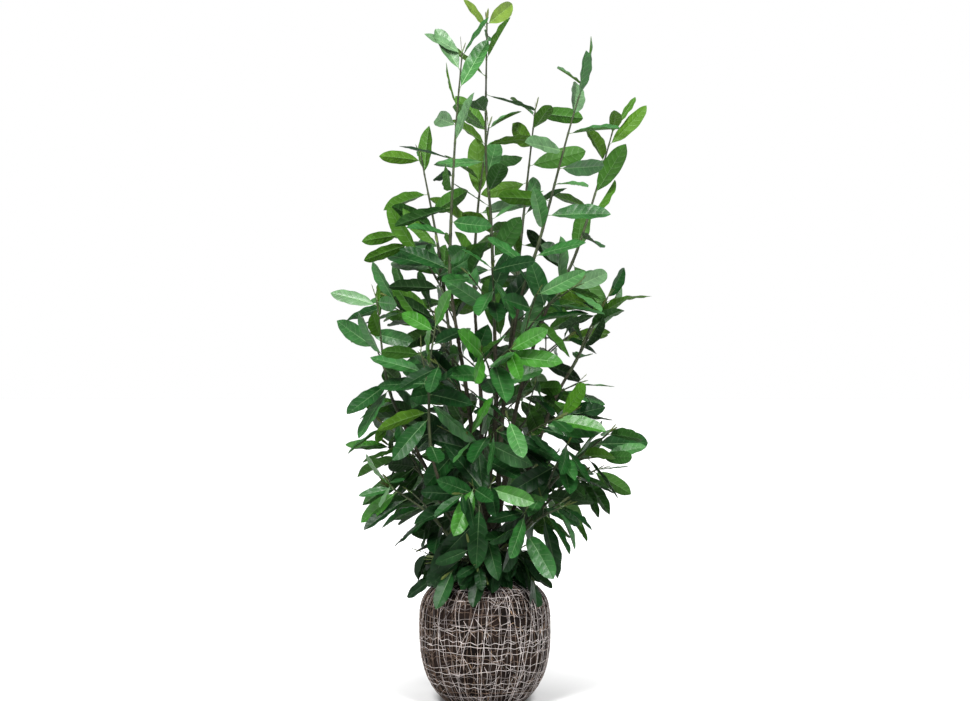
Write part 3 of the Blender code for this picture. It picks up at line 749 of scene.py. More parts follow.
def build_limbs():
    """The paths and the solids of the trunk and the limbs, and the crown at each limb's end."""
    shapes = {"trunk": trunk_shape()}
    paths = {"trunk": Path([Vector((0, 0, BALL_TOP)), Vector((0, 0, TRUNK_FORK - 0.002))], 0.02, 0.02)}
    crowns = {}
    for row in LIMBS:
        start = start_of(row, paths)
        guides = [start, *row.points]
        if row.height < TRUNK_FORK or row.host != "trunk":
            guides.insert(1, start + heading(row.azimuth, ELBOW_RISE) * ELBOW)
        path = Path.through(guides, row.foot_radius, TIP_RADIUS)
        fork = path.distance_at_height(row.crown_from)
        limb = Path(path.cut(0, fork).points, row.foot_radius, CROWN_RADIUS)
        limb = seated(limb, bvh(*shapes[row.host]), LIMB_SIDES, LIMB_RING_STEP)
        paths[row.name] = limb
        shapes[row.name] = tube(limb, LIMB_SIDES, LIMB_RING_STEP)
        crown = Path(path.cut(fork, path.length).points, CROWN_RADIUS, TIP_RADIUS)
        crowns[row.name] = seated(crown, bvh(*shapes[row.name]))
    return paths, shapes, crowns


def start_masses(paths, shapes, crowns):
    """The stem of every mass: the crowns first, then the sprays on the limbs' sides."""
    masses = []
    for row in LIMBS:
        name = row.name.replace("stem_", "foliage_crown_").replace("bough_", "foliage_bough_")
        masses.append(Mass(name, crowns[row.name], row.leaf_step, row.twigs, row.seed))
    for row in SPRAYS:
        start = start_of(row, paths)
        tip = heading(row.azimuth, 0) * row.reach + Vector((0, 0, row.tip))
        middle = start.lerp(tip, 0.5) + Vector((0, 0, SPRAY_ARCH * (tip - start).length))
        stem = Path.through([start, middle, tip], TWIG_RADIUS * 1.25, TIP_RADIUS)
        stem = seated(stem, bvh(*shapes[row.host]))
        step = SKIRT_LEAF_STEP if row.host == "trunk" else LOW_LEAF_STEP
        masses.append(Mass("foliage_" + row.name, stem, step, row.twigs, row.seed))
    return masses


def grow():
    """The limbs' paths, the finished masses, and every solid that finer growth keeps clear of."""
    paths, shapes, crowns = build_limbs()
    obstacles = [Obstacle(*ball_shape(), "root_ball")]
    obstacles += [Obstacle(*shape, name) for name, shape in shapes.items()]
    masses = start_masses(paths, shapes, crowns)
    obstacles += [Obstacle(*tube(mass.stem), mass.name) for mass in masses]
    for mass in masses:
        grow_twigs(mass, obstacles)
    for mass in masses:
        grow_leaves(mass, masses, obstacles)
    return paths, masses, obstacles


def in_scene(name, data):
    """An object of this data, linked to the scene."""
    obj = bpy.data.objects.new(name, data)
    bpy.context.scene.collection.objects.link(obj)
    return obj


class Meshwork:
    """Points and faces gathered from many small shapes, to make one joined piece."""

    def __init__(self):
        self.points = []
        self.faces = []
        self.slots = []
        self.count = 0

    def add(self, points, faces, slots):
        """Adds a shape. Faces have four corners, and a triangle's last corner is -1."""
        points = np.asarray(points, float).reshape(-1, 3)
        self.points.append(points)
        self.faces.append(np.where(faces >= 0, faces + self.count, -1))
        self.slots.append(np.broadcast_to(slots, len(faces)))
        self.count += len(points)

    def piece(self, name, materials, sharp=None):
        """A smooth-shaded mesh object of all that was added."""
        points = np.concatenate(self.points)
        faces = np.concatenate(self.faces)
        mesh = bpy.data.meshes.new(name)
        mesh.vertices.add(len(points))
        mesh.vertices.foreach_set("co", points.astype(np.float32).ravel())
        real = faces >= 0
        corners = faces[real]
        sizes = real.sum(axis=1)
        mesh.loops.add(len(corners))
        mesh.loops.foreach_set("vertex_index", corners.astype(np.int32))
        mesh.polygons.add(len(faces))
        mesh.polygons.foreach_set("loop_start", (np.cumsum(sizes) - sizes).astype(np.int32))
        for made_of in materials:
            mesh.materials.append(made_of)
        mesh.polygons.foreach_set("material_index", np.concatenate(self.slots).astype(np.int32))
        mesh.update(calc_edges=True)
        mesh.validate()
        mesh.shade_smooth()
        if sharp is not None:
            mesh.set_sharp_from_angle(angle=math.radians(sharp))
        return in_scene(name, mesh)


def unit(rows):
    """Each row of an array scaled to length 1."""
    return rows / np.maximum(np.linalg.norm(rows, axis=-1, keepdims=True), 1e-12)


def ways_along(points):
    """How far along a line of points each one lies."""
    return np.concatenate([[0], np.cumsum(np.linalg.norm(np.diff(points, axis=0), axis=1))])


def ring_faces(rings, sides):
    """The quads between rings of points, and the two fans to a last point at either end."""
    i, k = np.meshgrid(np.arange(rings - 1), np.arange(sides), indexing="ij")
    a = i * sides + k
    b = i * sides + (k + 1) % sides
    walls = np.stack([a, b, b + sides, a + sides], axis=-1).reshape(-1, 4)
    k, end, none = np.arange(sides), np.full(sides, rings * sides), np.full(sides, -1)
    after, last = (k + 1) % sides, (rings - 1) * sides
    foot = np.stack([after, k, end, none], axis=-1)
    tip = np.stack([last + k, last + after, end + 1, none], axis=-1)
    return np.concatenate([walls, foot, tip])


def sweep(centres, radii, sides, up=None):
    """A closed tube round a line of points, which `up` lies across: one of the axes, unless it's given.

    `radii` has one value for each point, or one for each point and side.
    """
    centres = np.asarray(centres, float)
    along = unit(np.gradient(centres, axis=0))
    if up is None:
        up = np.eye(3)[int(np.argmin(np.abs(centres[-1] - centres[0])))]
    across = unit(np.cross(np.broadcast_to(up, centres.shape), along))
    lift = np.cross(along, across)
    radii = np.asarray(radii, float).reshape(len(centres), -1)
    turn = 2 * math.pi * np.arange(sides) / sides
    x = (radii * np.cos(turn))[..., None] * across[:, None, :]
    y = (radii * np.sin(turn))[..., None] * lift[:, None, :]
    rings = centres[:, None, :] + x + y
    points = np.concatenate([rings.reshape(-1, 3), centres[:1], centres[-1:]])
    return points, ring_faces(len(centres), sides)


def spread_points(path, step):
    """Even points along a path, how far along each is, and the path's radius there."""
    distances = np.linspace(0, path.length, max(2, round(path.length / step)) + 1)
    points = np.array([path.at(d)[0] for d in distances])
    return points, distances, np.array([path.radius(d) for d in distances])


def bezier(start, start_way, end, end_way, count):
    """Points on a cubic curve that leaves and arrives along two vectors."""
    t = np.linspace(0, 1, count)[:, None]
    p0, p3 = np.asarray(start, float), np.asarray(end, float)
    p1, p2 = p0 + np.asarray(start_way, float), p3 - np.asarray(end_way, float)
    return (1 - t) ** 3 * p0 + 3 * (1 - t) ** 2 * t * p1 + 3 * (1 - t) * t * t * p2 + t ** 3 * p3


def blade_profile(share, blunt):
    """Half a blade's width along it, from 0 to 1: an oval with a tapered foot and a blunt or small tip."""
    below = np.clip((BLADE_WIDEST - share) / BLADE_WIDEST, 0, 1)
    above = np.clip((share - BLADE_WIDEST) / (1 - BLADE_WIDEST), 0, 1)
    foot = (1 - below ** 2.2) ** 0.80
    point = (1 - above ** (2.1 + 0.6 * blunt)) ** (0.80 - 0.16 * blunt)
    width = np.where(share < BLADE_WIDEST, foot, point)
    return width * (1 - 0.30 * np.clip((share - 0.88) / 0.12, 0, 1) ** 1.5)


BladeGrid = namedtuple("BladeGrid", "rows raised across signs inner faces parts")


def blade_grid(vein_pairs, outer_columns):
    """The rows and columns that every blade is laid out on.

    Rows follow the side veins, two close together at each vein and one raised between them. The
    columns run from margin to margin, with two narrow ones for the midrib. Each face has the number
    of its part of the leaf, in the order of a tone's materials.
    """
    narrow = VEIN_WIDTH / (2 * LEAF_LENGTH)
    veins = [*(0.05 + 0.88 * (np.arange(vein_pairs) + 0.35) / vein_pairs), 1.0]
    rows, raised, on_vein = [0.0], [0.0], []
    for place, after in zip(veins, veins[1:]):
        rows += [place - narrow, place + narrow, (place + after) / 2]
        raised += [-1.0, -1.0, 1.0]
        on_vein += [False, True, False]
    rows, raised, on_vein = np.array([*rows, 1.0]), np.array([*raised, 0.0]), np.array([*on_vein, False])
    half = np.array([0.0, *outer_columns])
    across = np.concatenate([-half[::-1], [0.0], half])
    middle = len(half)
    count, columns = len(rows), len(across)
    i, k = np.meshgrid(np.arange(count - 1), np.arange(columns - 1), indexing="ij")
    a = i * columns + k
    top = np.stack([a, a + 1, a + columns + 1, a + columns], axis=-1)
    parts = np.zeros((count - 1, columns - 1), int)
    parts[on_vein, 1:-1] = 1
    parts[:, middle - 1:middle + 1] = 2
    below = np.arange(count * columns).reshape(count, columns)
    inner = np.zeros((count, columns), bool)
    inner[1:-1, 1:-1] = True
    below[inner] = count * columns + np.arange(inner.sum())
    under = np.stack([below[:-1, :-1], below[1:, :-1], below[1:, 1:], below[:-1, 1:]], axis=-1)
    faces = np.concatenate([top.reshape(-1, 4), under.reshape(-1, 4)])
    parts = np.concatenate([parts.ravel(), np.where(parts == 0, 3, 4).ravel()])
    return BladeGrid(rows, raised, across, np.sign(np.arange(columns) - middle), inner, faces, parts)


GRID = blade_grid(VEIN_PAIRS, (0.40, 0.76, 1.0))
SMALL_GRID = blade_grid(SMALL_VEIN_PAIRS, (0.55, 1.0))


def add_blade(work, grid, leaf, rng, droop, tone):
    """One leaf's blade on a grid: the points of its upper side, then the inner ones of its underside."""
    size = leaf.length / LEAF_LENGTH
    along, normal = np.array(leaf.direction), np.array(leaf.normal)
    side = np.cross(along, normal)
    out = np.abs(np.broadcast_to(grid.across, (len(grid.rows), len(grid.across))))
    slant = BLADE_ROW_SLANT * 4 * grid.rows * (1 - grid.rows)
    share = grid.rows[:, None] + slant[:, None] * out ** 1.2
    half = leaf.width / 2 * BLADE_WIDTH * rng.uniform(*BLADE_WIDTHS)
    blunt = rng.uniform(*BLUNTNESS)
    edge = half * blade_profile(share, blunt)
    rib = MIDRIB_HALF * (1.15 - share) * size
    x = grid.signs * (rib + np.maximum(edge - rib, BLADE_LEAST) * out)
    full = half * blade_profile(grid.rows, blunt)[:, None]
    lift = LEAF_FOLD * rng.uniform(*BLADE_FOLDS) * edge * out ** 1.3
    lift -= MARGIN_CURL * rng.uniform(*MARGIN_CURLS) * edge * out ** 4
    quilt = np.clip(2.7 * out, 0, 1) * (1 - out ** 2.2) * full / half
    lift += grid.raised[:, None] * VEIN_DEPTH * size * quilt
    waves = rng.uniform(*MARGIN_WAVES)
    for sign in (-1, 1):
        wave = np.sin(2 * math.pi * (waves * share + rng.random())) * 4 * share * (1 - share)
        lift += np.where(grid.signs == sign, wave * MARGIN_WAVE * size * out ** 1.8, 0)
    lift -= np.where(grid.signs == 0, MIDRIB_SINK * rib, 0)
    twist = math.radians(rng.gauss(0, BLADE_TWIST)) * (share - 0.2)
    turned = x * np.cos(twist) - lift * np.sin(twist)
    lift = x * np.sin(twist) + lift * np.cos(twist)
    x = turned + leaf.length * rng.gauss(0, BLADE_SWAY) * share ** 2
    reach = PETIOLE_SHARE + (1 - PETIOLE_SHARE) * share
    lift -= droop * LEAF_DROOP * leaf.length * reach ** BLADE_DROOP_POWER
    top = (np.array(leaf.root) + along * (leaf.length * reach)[..., None] + side * x[..., None]
           + normal * lift[..., None])
    thick = BLADE_THICKNESS + np.where(grid.signs == 0, MIDRIB_KEEL * size * (1.1 - share), 0)
    bottom = top - normal * thick[..., None]
    points = np.concatenate([top.reshape(-1, 3), bottom[grid.inner]])
    work.add(points, grid.faces, grid.parts + PARTS * tone)


def add_node(tree, kind, **values):
    """A shader node with these values on its sockets."""
    node = tree.nodes.new(kind)
    for socket, value in values.items():
        node.inputs[socket.replace("_", " ")].default_value = value
    return node


def join(source, output, target, socket):
    """Links one node's output to another node's socket."""
    target.id_data.links.new(source.outputs[output], target.inputs[socket])


def material(name, colour, roughness, tone_shift, scale, bump=0.0, bump_scale=0.0, other=None, specular=0.5):
    """A Principled material with fine procedural changes of its colour, its roughness and its surface.

    The colour runs between `colour` and `other`, or between a darker and a lighter `colour`.
    """
    made = bpy.data.materials.new(name)
    made.use_nodes = True
    tree = made.node_tree
    shader = tree.nodes["Principled BSDF"]
    shader.inputs["Specular IOR Level"].default_value = specular
    place = add_node(tree, "ShaderNodeTexCoord")
    grain = add_node(tree, "ShaderNodeTexNoise", Scale=scale, Detail=3.0)
    join(place, "Object", grain, "Vector")
    blend = add_node(tree, "ShaderNodeValToRGB")
    low, high = blend.color_ramp.elements
    low.position, high.position = 0.30, 0.70
    low.color = (*[c * (1 - tone_shift) for c in colour], 1)
    high.color = (*(other or [min(1, c * (1 + tone_shift)) for c in colour]), 1)
    join(grain, "Fac", blend, "Fac")
    join(blend, "Color", shader, "Base Color")
    smoothest, roughest = max(0.05, roughness - ROUGHNESS_SPREAD), min(1.0, roughness + ROUGHNESS_SPREAD)
    rough = add_node(tree, "ShaderNodeMapRange", To_Min=smoothest, To_Max=roughest)
    join(grain, "Fac", rough, "Value")
    join(rough, "Result", shader, "Roughness")
    if bump:
        fine = add_node(tree, "ShaderNodeTexNoise", Scale=bump_scale, Detail=2.0)
        join(place, "Object", fine, "Vector")
        relief = add_node(tree, "ShaderNodeBump", Distance=bump)
        join(fine, "Fac", relief, "Height")
        join(relief, "Normal", shader, "Normal")
    return made


def blended(a, b, share):
    return tuple(mixed(x, y, share) for x, y in zip(a, b))


def leaf_materials():
    """The materials of each tone: upper side, side veins, midrib, underside and the underside's ribs."""
    made = []
    for name, upper, under, pale in TONES:
        vein, midrib = blended(upper, VEIN_COLOUR, pale), blended(upper, VEIN_COLOUR, MIDRIB_PALER + pale)
        rib = blended(under, VEIN_COLOUR, 0.05 + pale * 0.3)
        gloss = DULL_GLOSS if name in ("deep", "dark") else LEAF_GLOSS
        made += [
            material("leaf " + name, upper, 0.36, 0.24, 45, 0.0005, 150, specular=gloss),
            material("vein " + name, vein, 0.38, 0.10, 60, specular=gloss * 0.8),
            material("midrib " + name, midrib, 0.42, 0.10, 60, specular=gloss * 0.6),
            # The underside's colour is partly its own paler green and partly painted light shining through
            # the leaf
            material("underside " + name, under, 0.60, 0.14, 40, 0.0003, 150, specular=0.12),
            material("rib " + name, rib, 0.52, 0.10, 60, specular=0.2),
        ]
    return made


def nearest(line, point):
    """How far a line passes from a point, and how far along the line that is."""
    gaps = [(p - point).length for p in line.points]
    i = gaps.index(min(gaps))
    return gaps[i], line.distances[i]


def add_petiole(work, leaf, start, droop, radius):
    """The stalk, from inside its twig to the foot of the blade."""
    share = PETIOLE_SHARE + PETIOLE_OVERLAP
    way = np.array(leaf.direction) * leaf.length / LEAF_LENGTH
    foot = np.array(leaf.root) + np.array(leaf.direction) * (leaf.length * share)
    foot = foot - np.array(leaf.normal) * droop * LEAF_DROOP * leaf.length * share ** BLADE_DROOP_POWER
    centres = bezier(start, way * 0.004, foot, way * 0.005, 5)
    work.add(*sweep(centres, np.linspace(1.25, 1.0, 5) * radius, 5), 1)


def add_bud(work, place, way, length, radius):
    """A small pointed bud."""
    centres = np.array(place) + np.array(way) * (length * BUD_PLACES)[:, None]
    work.add(*sweep(centres, radius * BUD_RADII, 5), 1)


def middle_of(leaf):
    return leaf.root + leaf.direction * (leaf.length / 2)


def tone_with_painted_shade(leaf, rng):
    """Which tone a leaf has: darker low down and inside as painted shade, paler near the top as painted
    light, and spread at random.
    """
    middle = middle_of(leaf)
    depth = math.hypot(middle.x, middle.y) - TONE_REACH
    spread = TONE_SPREAD[0] + TONE_SPREAD[1] * min(middle.z, 1.0)
    level = (middle.z - TONE_FOOT) / TONE_RISE + 0.8 * depth + rng.gauss(0, spread)
    return sum(level > step for step in TONE_LEVELS)


def youth(leaf):
    """How likely a leaf is to be one of its mass's young ones: far out or high up, and open to the light."""
    middle = middle_of(leaf)
    outward = Vector((middle.x, middle.y, 0)).normalized()
    return middle.xy.length + 0.5 * middle.z + 0.12 * leaf.normal.dot(outward)


def in_reach(leaf):
    """Whether a leaf's tip stays within the solids' box."""
    tip = leaf.root + leaf.direction * leaf.length
    return all(low < place < high for low, place, high in zip(solid_low, tip, solid_high))


def small_leaves(shoot, mass, masses, obstacles, rng):
    """The small leaves of a shoot, each one tried at a few angles."""
    grown, spin = [], rng.uniform(0, 360)
    for k, share in enumerate(SHOOT_LEAVES):
        place, ahead = shoot.at(shoot.length * share)
        for turn in SHOOT_TRIES:
            size = LEAF_LENGTH * rng.uniform(*SMALL_LEAVES)
            leaf = leaf_pose(rng, place, ahead, spin + LEAF_TURN * k + turn, size, *mass.habit)
            if in_reach(leaf) and leaf_fits(leaf, mass, masses, obstacles):
                grown.append(leaf)
                obstacles.append(Obstacle(*leaf_solid(leaf), mass.name))
                break
    return grown


def grow_shoots(mass, masses, obstacles):
    """Short side shoots with small leaves, finer than the solids', wherever both find room."""
    rng = random.Random("shoots " + mass.name)
    shoots, leaves = [], []
    for line in (mass.stem, *mass.twigs):
        count = int(line.length / (SKIRT_SHOOT_STEP if mass.skirt else SHOOT_STEP))
        for i in range(count):
            point, along = line.at(line.length * (i + rng.uniform(0.2, 0.9)) / count)
            if point.z > SHOOT_TOP:
                continue
            turn = math.radians(LEAF_TURN * i + rng.uniform(0, 60))
            side = Matrix.Rotation(turn, 3, along) @ along.orthogonal()
            way = (along * 0.8 + side.normalized()).normalized()
            level, rise = math.degrees(math.atan2(way.y, way.x)), math.degrees(math.asin(way.z))
            length = rng.uniform(*SHOOT_LENGTHS)
            tip_radius = SHOOT_RADIUS * SHOOT_TAPER
            shoot = Path.bent(point, level, rise, SHOOT_BEND, length, SHOOT_RADIUS, tip_radius)
            solid = Obstacle(*tube(shoot, step=SHOOT_RING_STEP), mass.name)
            if solid.meets_others(obstacles):
                continue
            grown = small_leaves(shoot, mass, masses, obstacles, rng)
            if grown:
                shoots.append(shoot)
                leaves += grown
    return shoots, leaves


def add_twig(work, line, nodes, into_host):
    """A twig's skin: swollen a little at each leaf, and with its foot inside what it grows from."""
    centres, distances, radii = spread_points(line, TWIG_SAMPLE)
    radii = TWIG_STOUT * radii
    for place in nodes:
        radii += NODE_SWELL * np.exp(-((distances - place) / NODE_REACH) ** 2)
    back = unit(centres[0] - centres[1]) * into_host
    centres = np.concatenate([[centres[0] + back], centres])
    work.add(*sweep(centres, np.concatenate([radii[:1], radii]), TWIG_AROUND), 0)


def add_tip(blades, twigs, line, rng, young):
    """The bud at a twig's end, with a few narrow young leaves standing round it."""
    end, along = line.at(line.length)
    add_bud(twigs, end - along * 0.002, along, TIP_BUD_LENGTH, line.tip_radius * 1.25)
    spin = rng.uniform(0, 360)
    for k in range(young):
        turn = Matrix.Rotation(math.radians(spin + YOUNG_TURN * k), 3, along)
        side = turn @ along.orthogonal().normalized()
        way = (along + side * rng.uniform(*YOUNG_SPREAD)).normalized()
        normal = (along - side * 3).normalized()
        normal = (normal - way * normal.dot(way)).normalized()
        length = rng.uniform(*YOUNG_LEAVES)
        leaf = Leaf(end - along * 0.003, way, normal, length, length * YOUNG_ASPECT)
        add_blade(blades, SMALL_GRID, leaf, rng, YOUNG_DROOP, YOUNG_TONE)


def dress_mass(mass, masses, obstacles, blades, twigs):
    """One mass's twigs, stalks, buds and blades. A shoot's small leaves have no buds."""
    rng = random.Random("looks " + mass.name)
    shoots, small = grow_shoots(mass, masses, obstacles)
    lines = [mass.stem, *mass.twigs, *shoots]
    nodes = [[] for _ in lines]
    young = sorted(mass.leaves, key=youth, reverse=True)[:LIME_LEAVES.get(mass.name, 0)]
    youngest = FRESH if mass.name == TOPMOST else LIME
    for leaf in mass.leaves + small:
        _, place, number = min((*nearest(line, leaf.root), k) for k, line in enumerate(lines))
        nodes[number].append(place)
        start, along = lines[number].at(place)
        tone = youngest if leaf in young else tone_with_painted_shade(leaf, rng)
        droop = rng.uniform(*BLADE_DROOPS)
        if leaf in small:
            add_blade(blades, SMALL_GRID, leaf, rng, droop, tone)
            add_petiole(twigs, leaf, start, droop, SMALL_PETIOLE_RADIUS)
            continue
        add_blade(blades, GRID, leaf, rng, droop, tone)
        add_petiole(twigs, leaf, start, droop, PETIOLE_RADIUS)
        out = (leaf.direction - along * leaf.direction.dot(along)).normalized()
        axil = start + out * lines[number].radius(place) * 0.7 + along * 0.0015
        add_bud(twigs, axil, (along + out * 0.6).normalized(), BUD_LENGTH, BUD_RADIUS)
    for k, line in enumerate(lines):
        add_twig(twigs, line, nodes[k], TWIG_INTO_HOST if k == 0 else 0.0)
        add_tip(blades, twigs, line, rng, 2 if k == 0 else 1)


def make_crown(masses, obstacles):
    """The leaves and the twigs of each region, each joined into one piece."""
    regions = {}
    for mass in masses:
        level = sum(leaf.root.z for leaf in mass.leaves) / len(mass.leaves)
        region = "low" if level < MIDDLE_FROM else "middle" if level < HIGH_FROM else "high"
        blades, twigs, names = regions.setdefault(region, (Meshwork(), Meshwork(), []))
        names.append(mass.name)
        dress_mass(mass, masses, obstacles, blades, twigs)
    leaf_colours = leaf_materials()
    shoot = material("shoot", (0.012, 0.018, 0.0065), 0.55, 0.25, 60, 0.0001, 700,
                     other=(0.030, 0.040, 0.0145), specular=0.2)
    stalk = material("stalk", (0.052, 0.100, 0.025), 0.48, 0.15, 80)
    for region, (blades, twigs, names) in regions.items():
        leaves = blades.piece("leaves_" + region, leaf_colours, sharp=70)
        twigs = twigs.piece("twigs_" + region, [shoot, stalk], sharp=60)
        for piece in (leaves, twigs):
            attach(piece, "root")
            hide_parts(*names)


def meridian():
    """The ball's outline from the middle of its underside, up its side and in to the collar at the trunk."""
    heights = BALL_TOP * (1 - np.cos(np.linspace(0, math.pi, 160))) / 2
    radii = np.array([ball_radius(h, 0) for h in heights])
    under = np.linspace(0.004, radii[0], 24)[:-1]
    shoulder, collar = (radii[-1], 0, BALL_TOP), (COLLAR_RADIUS, 0, COLLAR_TOP)
    neck = bezier(shoulder, (-0.025, 0, 0.004), collar, (0.001, 0, 0.018), 24)
    return np.concatenate([np.stack([under, np.zeros(len(under))], 1), np.stack([radii, heights], 1),
                           neck[1:, [0, 2]]])


class BallSkin:
    """Places on the root ball's skin, each told by an azimuth and a share of the way from foot to collar."""

    def __init__(self):
        self.line = meridian()
        self.ways = ways_along(self.line)
        self.length = self.ways[-1]
        self.ways /= self.length
        slopes = unit(np.gradient(self.line, axis=0))
        self.outs = np.stack([slopes[:, 1], -slopes[:, 0]], 1)

    def share_at(self, height):
        """The share of the way up at which the side reaches a height."""
        side = (self.line[:, 1] > 0) & (self.line[:, 1] < BALL_TOP)
        return float(np.interp(height, self.line[side, 1], self.ways[side]))

    def at(self, azimuths, shares, lift):
        """Points `lift` above the skin, and the skin's outward directions there."""
        azimuths, shares = np.broadcast_arrays(np.asarray(azimuths, float), np.asarray(shares, float))
        radius, height, out, rise = [np.interp(shares, self.ways, values)
                                     for values in (*self.line.T, *self.outs.T)]
        swell = lump(azimuths, height) - lump(0, height)
        radius = radius * (1 + BALL_LUMP * swell) + out * lift
        level = np.maximum(height + rise * lift, TWINE_RADIUS)
        points = np.stack([radius * np.cos(azimuths), radius * np.sin(azimuths), level], -1)
        return points, np.stack([out * np.cos(azimuths), out * np.sin(azimuths), rise], -1)


def wander(rng, turns, size):
    """A smooth wandering of about `size` over a line that runs from 0 to 1."""
    waves = [(rng.uniform(0.4, 1.0) * turns, rng.uniform(0, 2 * math.pi), rng.gauss(0, size))
             for _ in range(4)]
    return lambda t: sum(a * np.sin(2 * math.pi * f * t + p) for f, p, a in waves) / 1.4


def strand(work, skin, rng, azimuths, shares, lift, radius, sides=5):
    """One length of twine along the skin, uneven in its thickness. The earthy ones lie mostly on the left.

    `lift` and `radius` are in radii of the twine.
    """
    points, outward = skin.at(azimuths, shares, TWINE_RADIUS * lift)
    length = np.linalg.norm(np.diff(points, axis=0), axis=1).sum()
    knots = wander(rng, length / KNOT_LENGTH, KNOT_SIZE)(np.linspace(0, 1, len(points)))
    leftward = max(0.0, math.cos(azimuths[len(azimuths) // 2] - EARTHY_AZIMUTH))
    slot = 1 if rng.random() < EARTHY_SHARE + 0.5 * leftward else rng.choice((0, 0, 2))
    work.add(*sweep(points, TWINE_RADIUS * radius * (1 + knots), sides, outward), slot)


def lay_uprights(work, skin, rng):
    """The strands that run up the ball, every third one slanting."""
    t = np.linspace(0, 1, UPRIGHT_POINTS)
    for i in range(UPRIGHTS):
        azimuth = 2 * math.pi * (i + rng.uniform(-0.45, 0.45)) / UPRIGHTS
        slant = rng.gauss(0, 0.10) if i % 3 else rng.choice((-1, 1)) * rng.uniform(0.25, 0.80)
        path = azimuth + slant * (t - 0.5) + wander(rng, 2.5, 0.014)(t) + wander(rng, 14, 0.0040)(t)
        lift, radius = rng.uniform(*UPRIGHT_LIFTS), rng.uniform(*UPRIGHT_RADII)
        strand(work, skin, rng, path, 0.04 + 0.96 * t, lift, radius)


def lay_hoops(work, skin, rng, low, high):
    """The strands that run round the ball, each a little more than once."""
    t = np.linspace(0, 1, HOOP_POINTS)
    for i in range(HOOPS):
        level = low + (high - low) * (i + 0.5 + rng.uniform(-0.3, 0.3)) / HOOPS
        turns = rng.uniform(0, 2 * math.pi) + 2 * math.pi * 1.02 * t
        path = level + wander(rng, 5, 0.010)(t) + wander(rng, 40, 0.0024)(t)
        lift, radius = rng.uniform(*HOOP_LIFTS), rng.uniform(*HOOP_RADII)
        strand(work, skin, rng, turns, path, lift, radius)


def lay_threads(work, skin, rng, low, high):
    """Short slanting threads between the uprights and the hoops."""
    for _ in range(THREADS):
        level, azimuth = rng.uniform(low, high), rng.uniform(0, 2 * math.pi)
        length, tilt = rng.uniform(*THREAD_LENGTHS), rng.uniform(0, math.pi)
        t = np.linspace(0, 1, max(6, round(length / 0.007)))
        turn = length * math.cos(tilt) / BALL_RADIUS
        path = level + length * math.sin(tilt) / skin.length * t + wander(rng, 1, 0.004)(t)
        turns = azimuth + turn * t + wander(rng, 1, 0.01)(t)
        lift, radius = rng.uniform(*THREAD_LIFTS), rng.uniform(*THREAD_RADII)
        strand(work, skin, rng, turns, np.clip(path, 0.03, 0.96), lift, radius, 4)


def lay_ties(work, skin, rng):
    """The ties that gather the net round the trunk."""
    t = np.linspace(0, 1, 120)
    for i in range(TIES):
        path = 1.0 - 0.016 * (i + 1) + 0.006 * np.sin(2 * math.pi * t + i)
        strand(work, skin, rng, 2 * math.pi * 1.06 * t + 2.1 * i, path, TIE_LIFT, TIE_RADIUS)


def make_net(skin):
    """The twine net round the ball."""
    rng = random.Random(NET_SEED)
    twines = [material(name, dark, roughness, 0.0, 70, 0.0003, 1500, pale, specular)
              for name, dark, pale, roughness, specular in TWINES]
    uprights, hoops, threads = Meshwork(), Meshwork(), Meshwork()
    low = skin.share_at(0.006)
    lay_uprights(uprights, skin, rng)
    lay_hoops(hoops, skin, rng, low, NET_TOP)
    lay_threads(threads, skin, rng, low, NET_TOP - 0.05)
    lay_ties(threads, skin, rng)
    return [work.piece(name, twines)
            for work, name in ((uprights, "net_uprights"), (hoops, "net_hoops"), (threads, "net_threads"))]


def rough(point, fineness, height):
    """The height of a rough surface at a point."""
    return noise.noise(Vector(point) * fineness) * height


def make_soil(skin):
    """The dark soil that bulges between the net's threads, lumpy and crumbly."""
    azimuths = 2 * math.pi * np.arange(SOIL_COLUMNS) / SOIL_COLUMNS
    points, outward = skin.at(*np.meshgrid(azimuths, np.linspace(0, SOIL_TOP, SOIL_ROWS)), -SOIL_SINK)
    points = points.reshape(-1, 3)
    lumps = np.array([rough(p, *SOIL_CLODS) + rough(p, *SOIL_LUMPS) + abs(rough(p, *SOIL_CRUMBS))
                      for p in points])
    points = points + outward.reshape(-1, 3) * lumps[:, None]
    points[:, 2] = np.maximum(points[:, 2], SOIL_FOOT)
    ends = np.array([[0, 0, SOIL_FOOT], [0, 0, BALL_TOP]])
    work = Meshwork()
    work.add(np.concatenate([points, ends]), ring_faces(SOIL_ROWS, SOIL_COLUMNS), 0)
    soil = material("soil", (0.0025, 0.0018, 0.0014), 0.95, 0.0, 14, 0.0012, 500,
                    other=(0.014, 0.009, 0.007), specular=0.05)
    return work.piece("soil", [soil])


def make_roots(skin):
    """Fine feeder roots that show among the soil."""
    rng = random.Random(ROOT_SEED)
    work = Meshwork()
    t = np.linspace(0, 1, 18)
    for _ in range(FINE_ROOTS):
        level = rng.uniform(0.16, 0.86)
        azimuth = rng.uniform(0, 2 * math.pi)
        turn, rise = rng.gauss(0, 0.16), rng.gauss(0, 0.05)
        path = level + rise * t + wander(rng, 2.5, 0.006)(t)
        points, outward = skin.at(azimuth + turn * t + wander(rng, 2.5, 0.012)(t), path, -SOIL_SINK * 0.30)
        work.add(*sweep(points, ROOT_RADIUS * (1.25 - t) * rng.uniform(0.6, 1.3), 5, outward), 0)
    root = material("fine root", (0.090, 0.052, 0.028), 0.85, 0.0, 90,
                    other=(0.24, 0.155, 0.090), specular=0.2)
    return work.piece("fine_roots", [root])


def make_root_ball():
    """The soil, the fine roots and the net."""
    skin = BallSkin()
    for piece in [make_soil(skin), make_roots(skin), *make_net(skin)]:
        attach(piece, "root")
        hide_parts("root_ball")


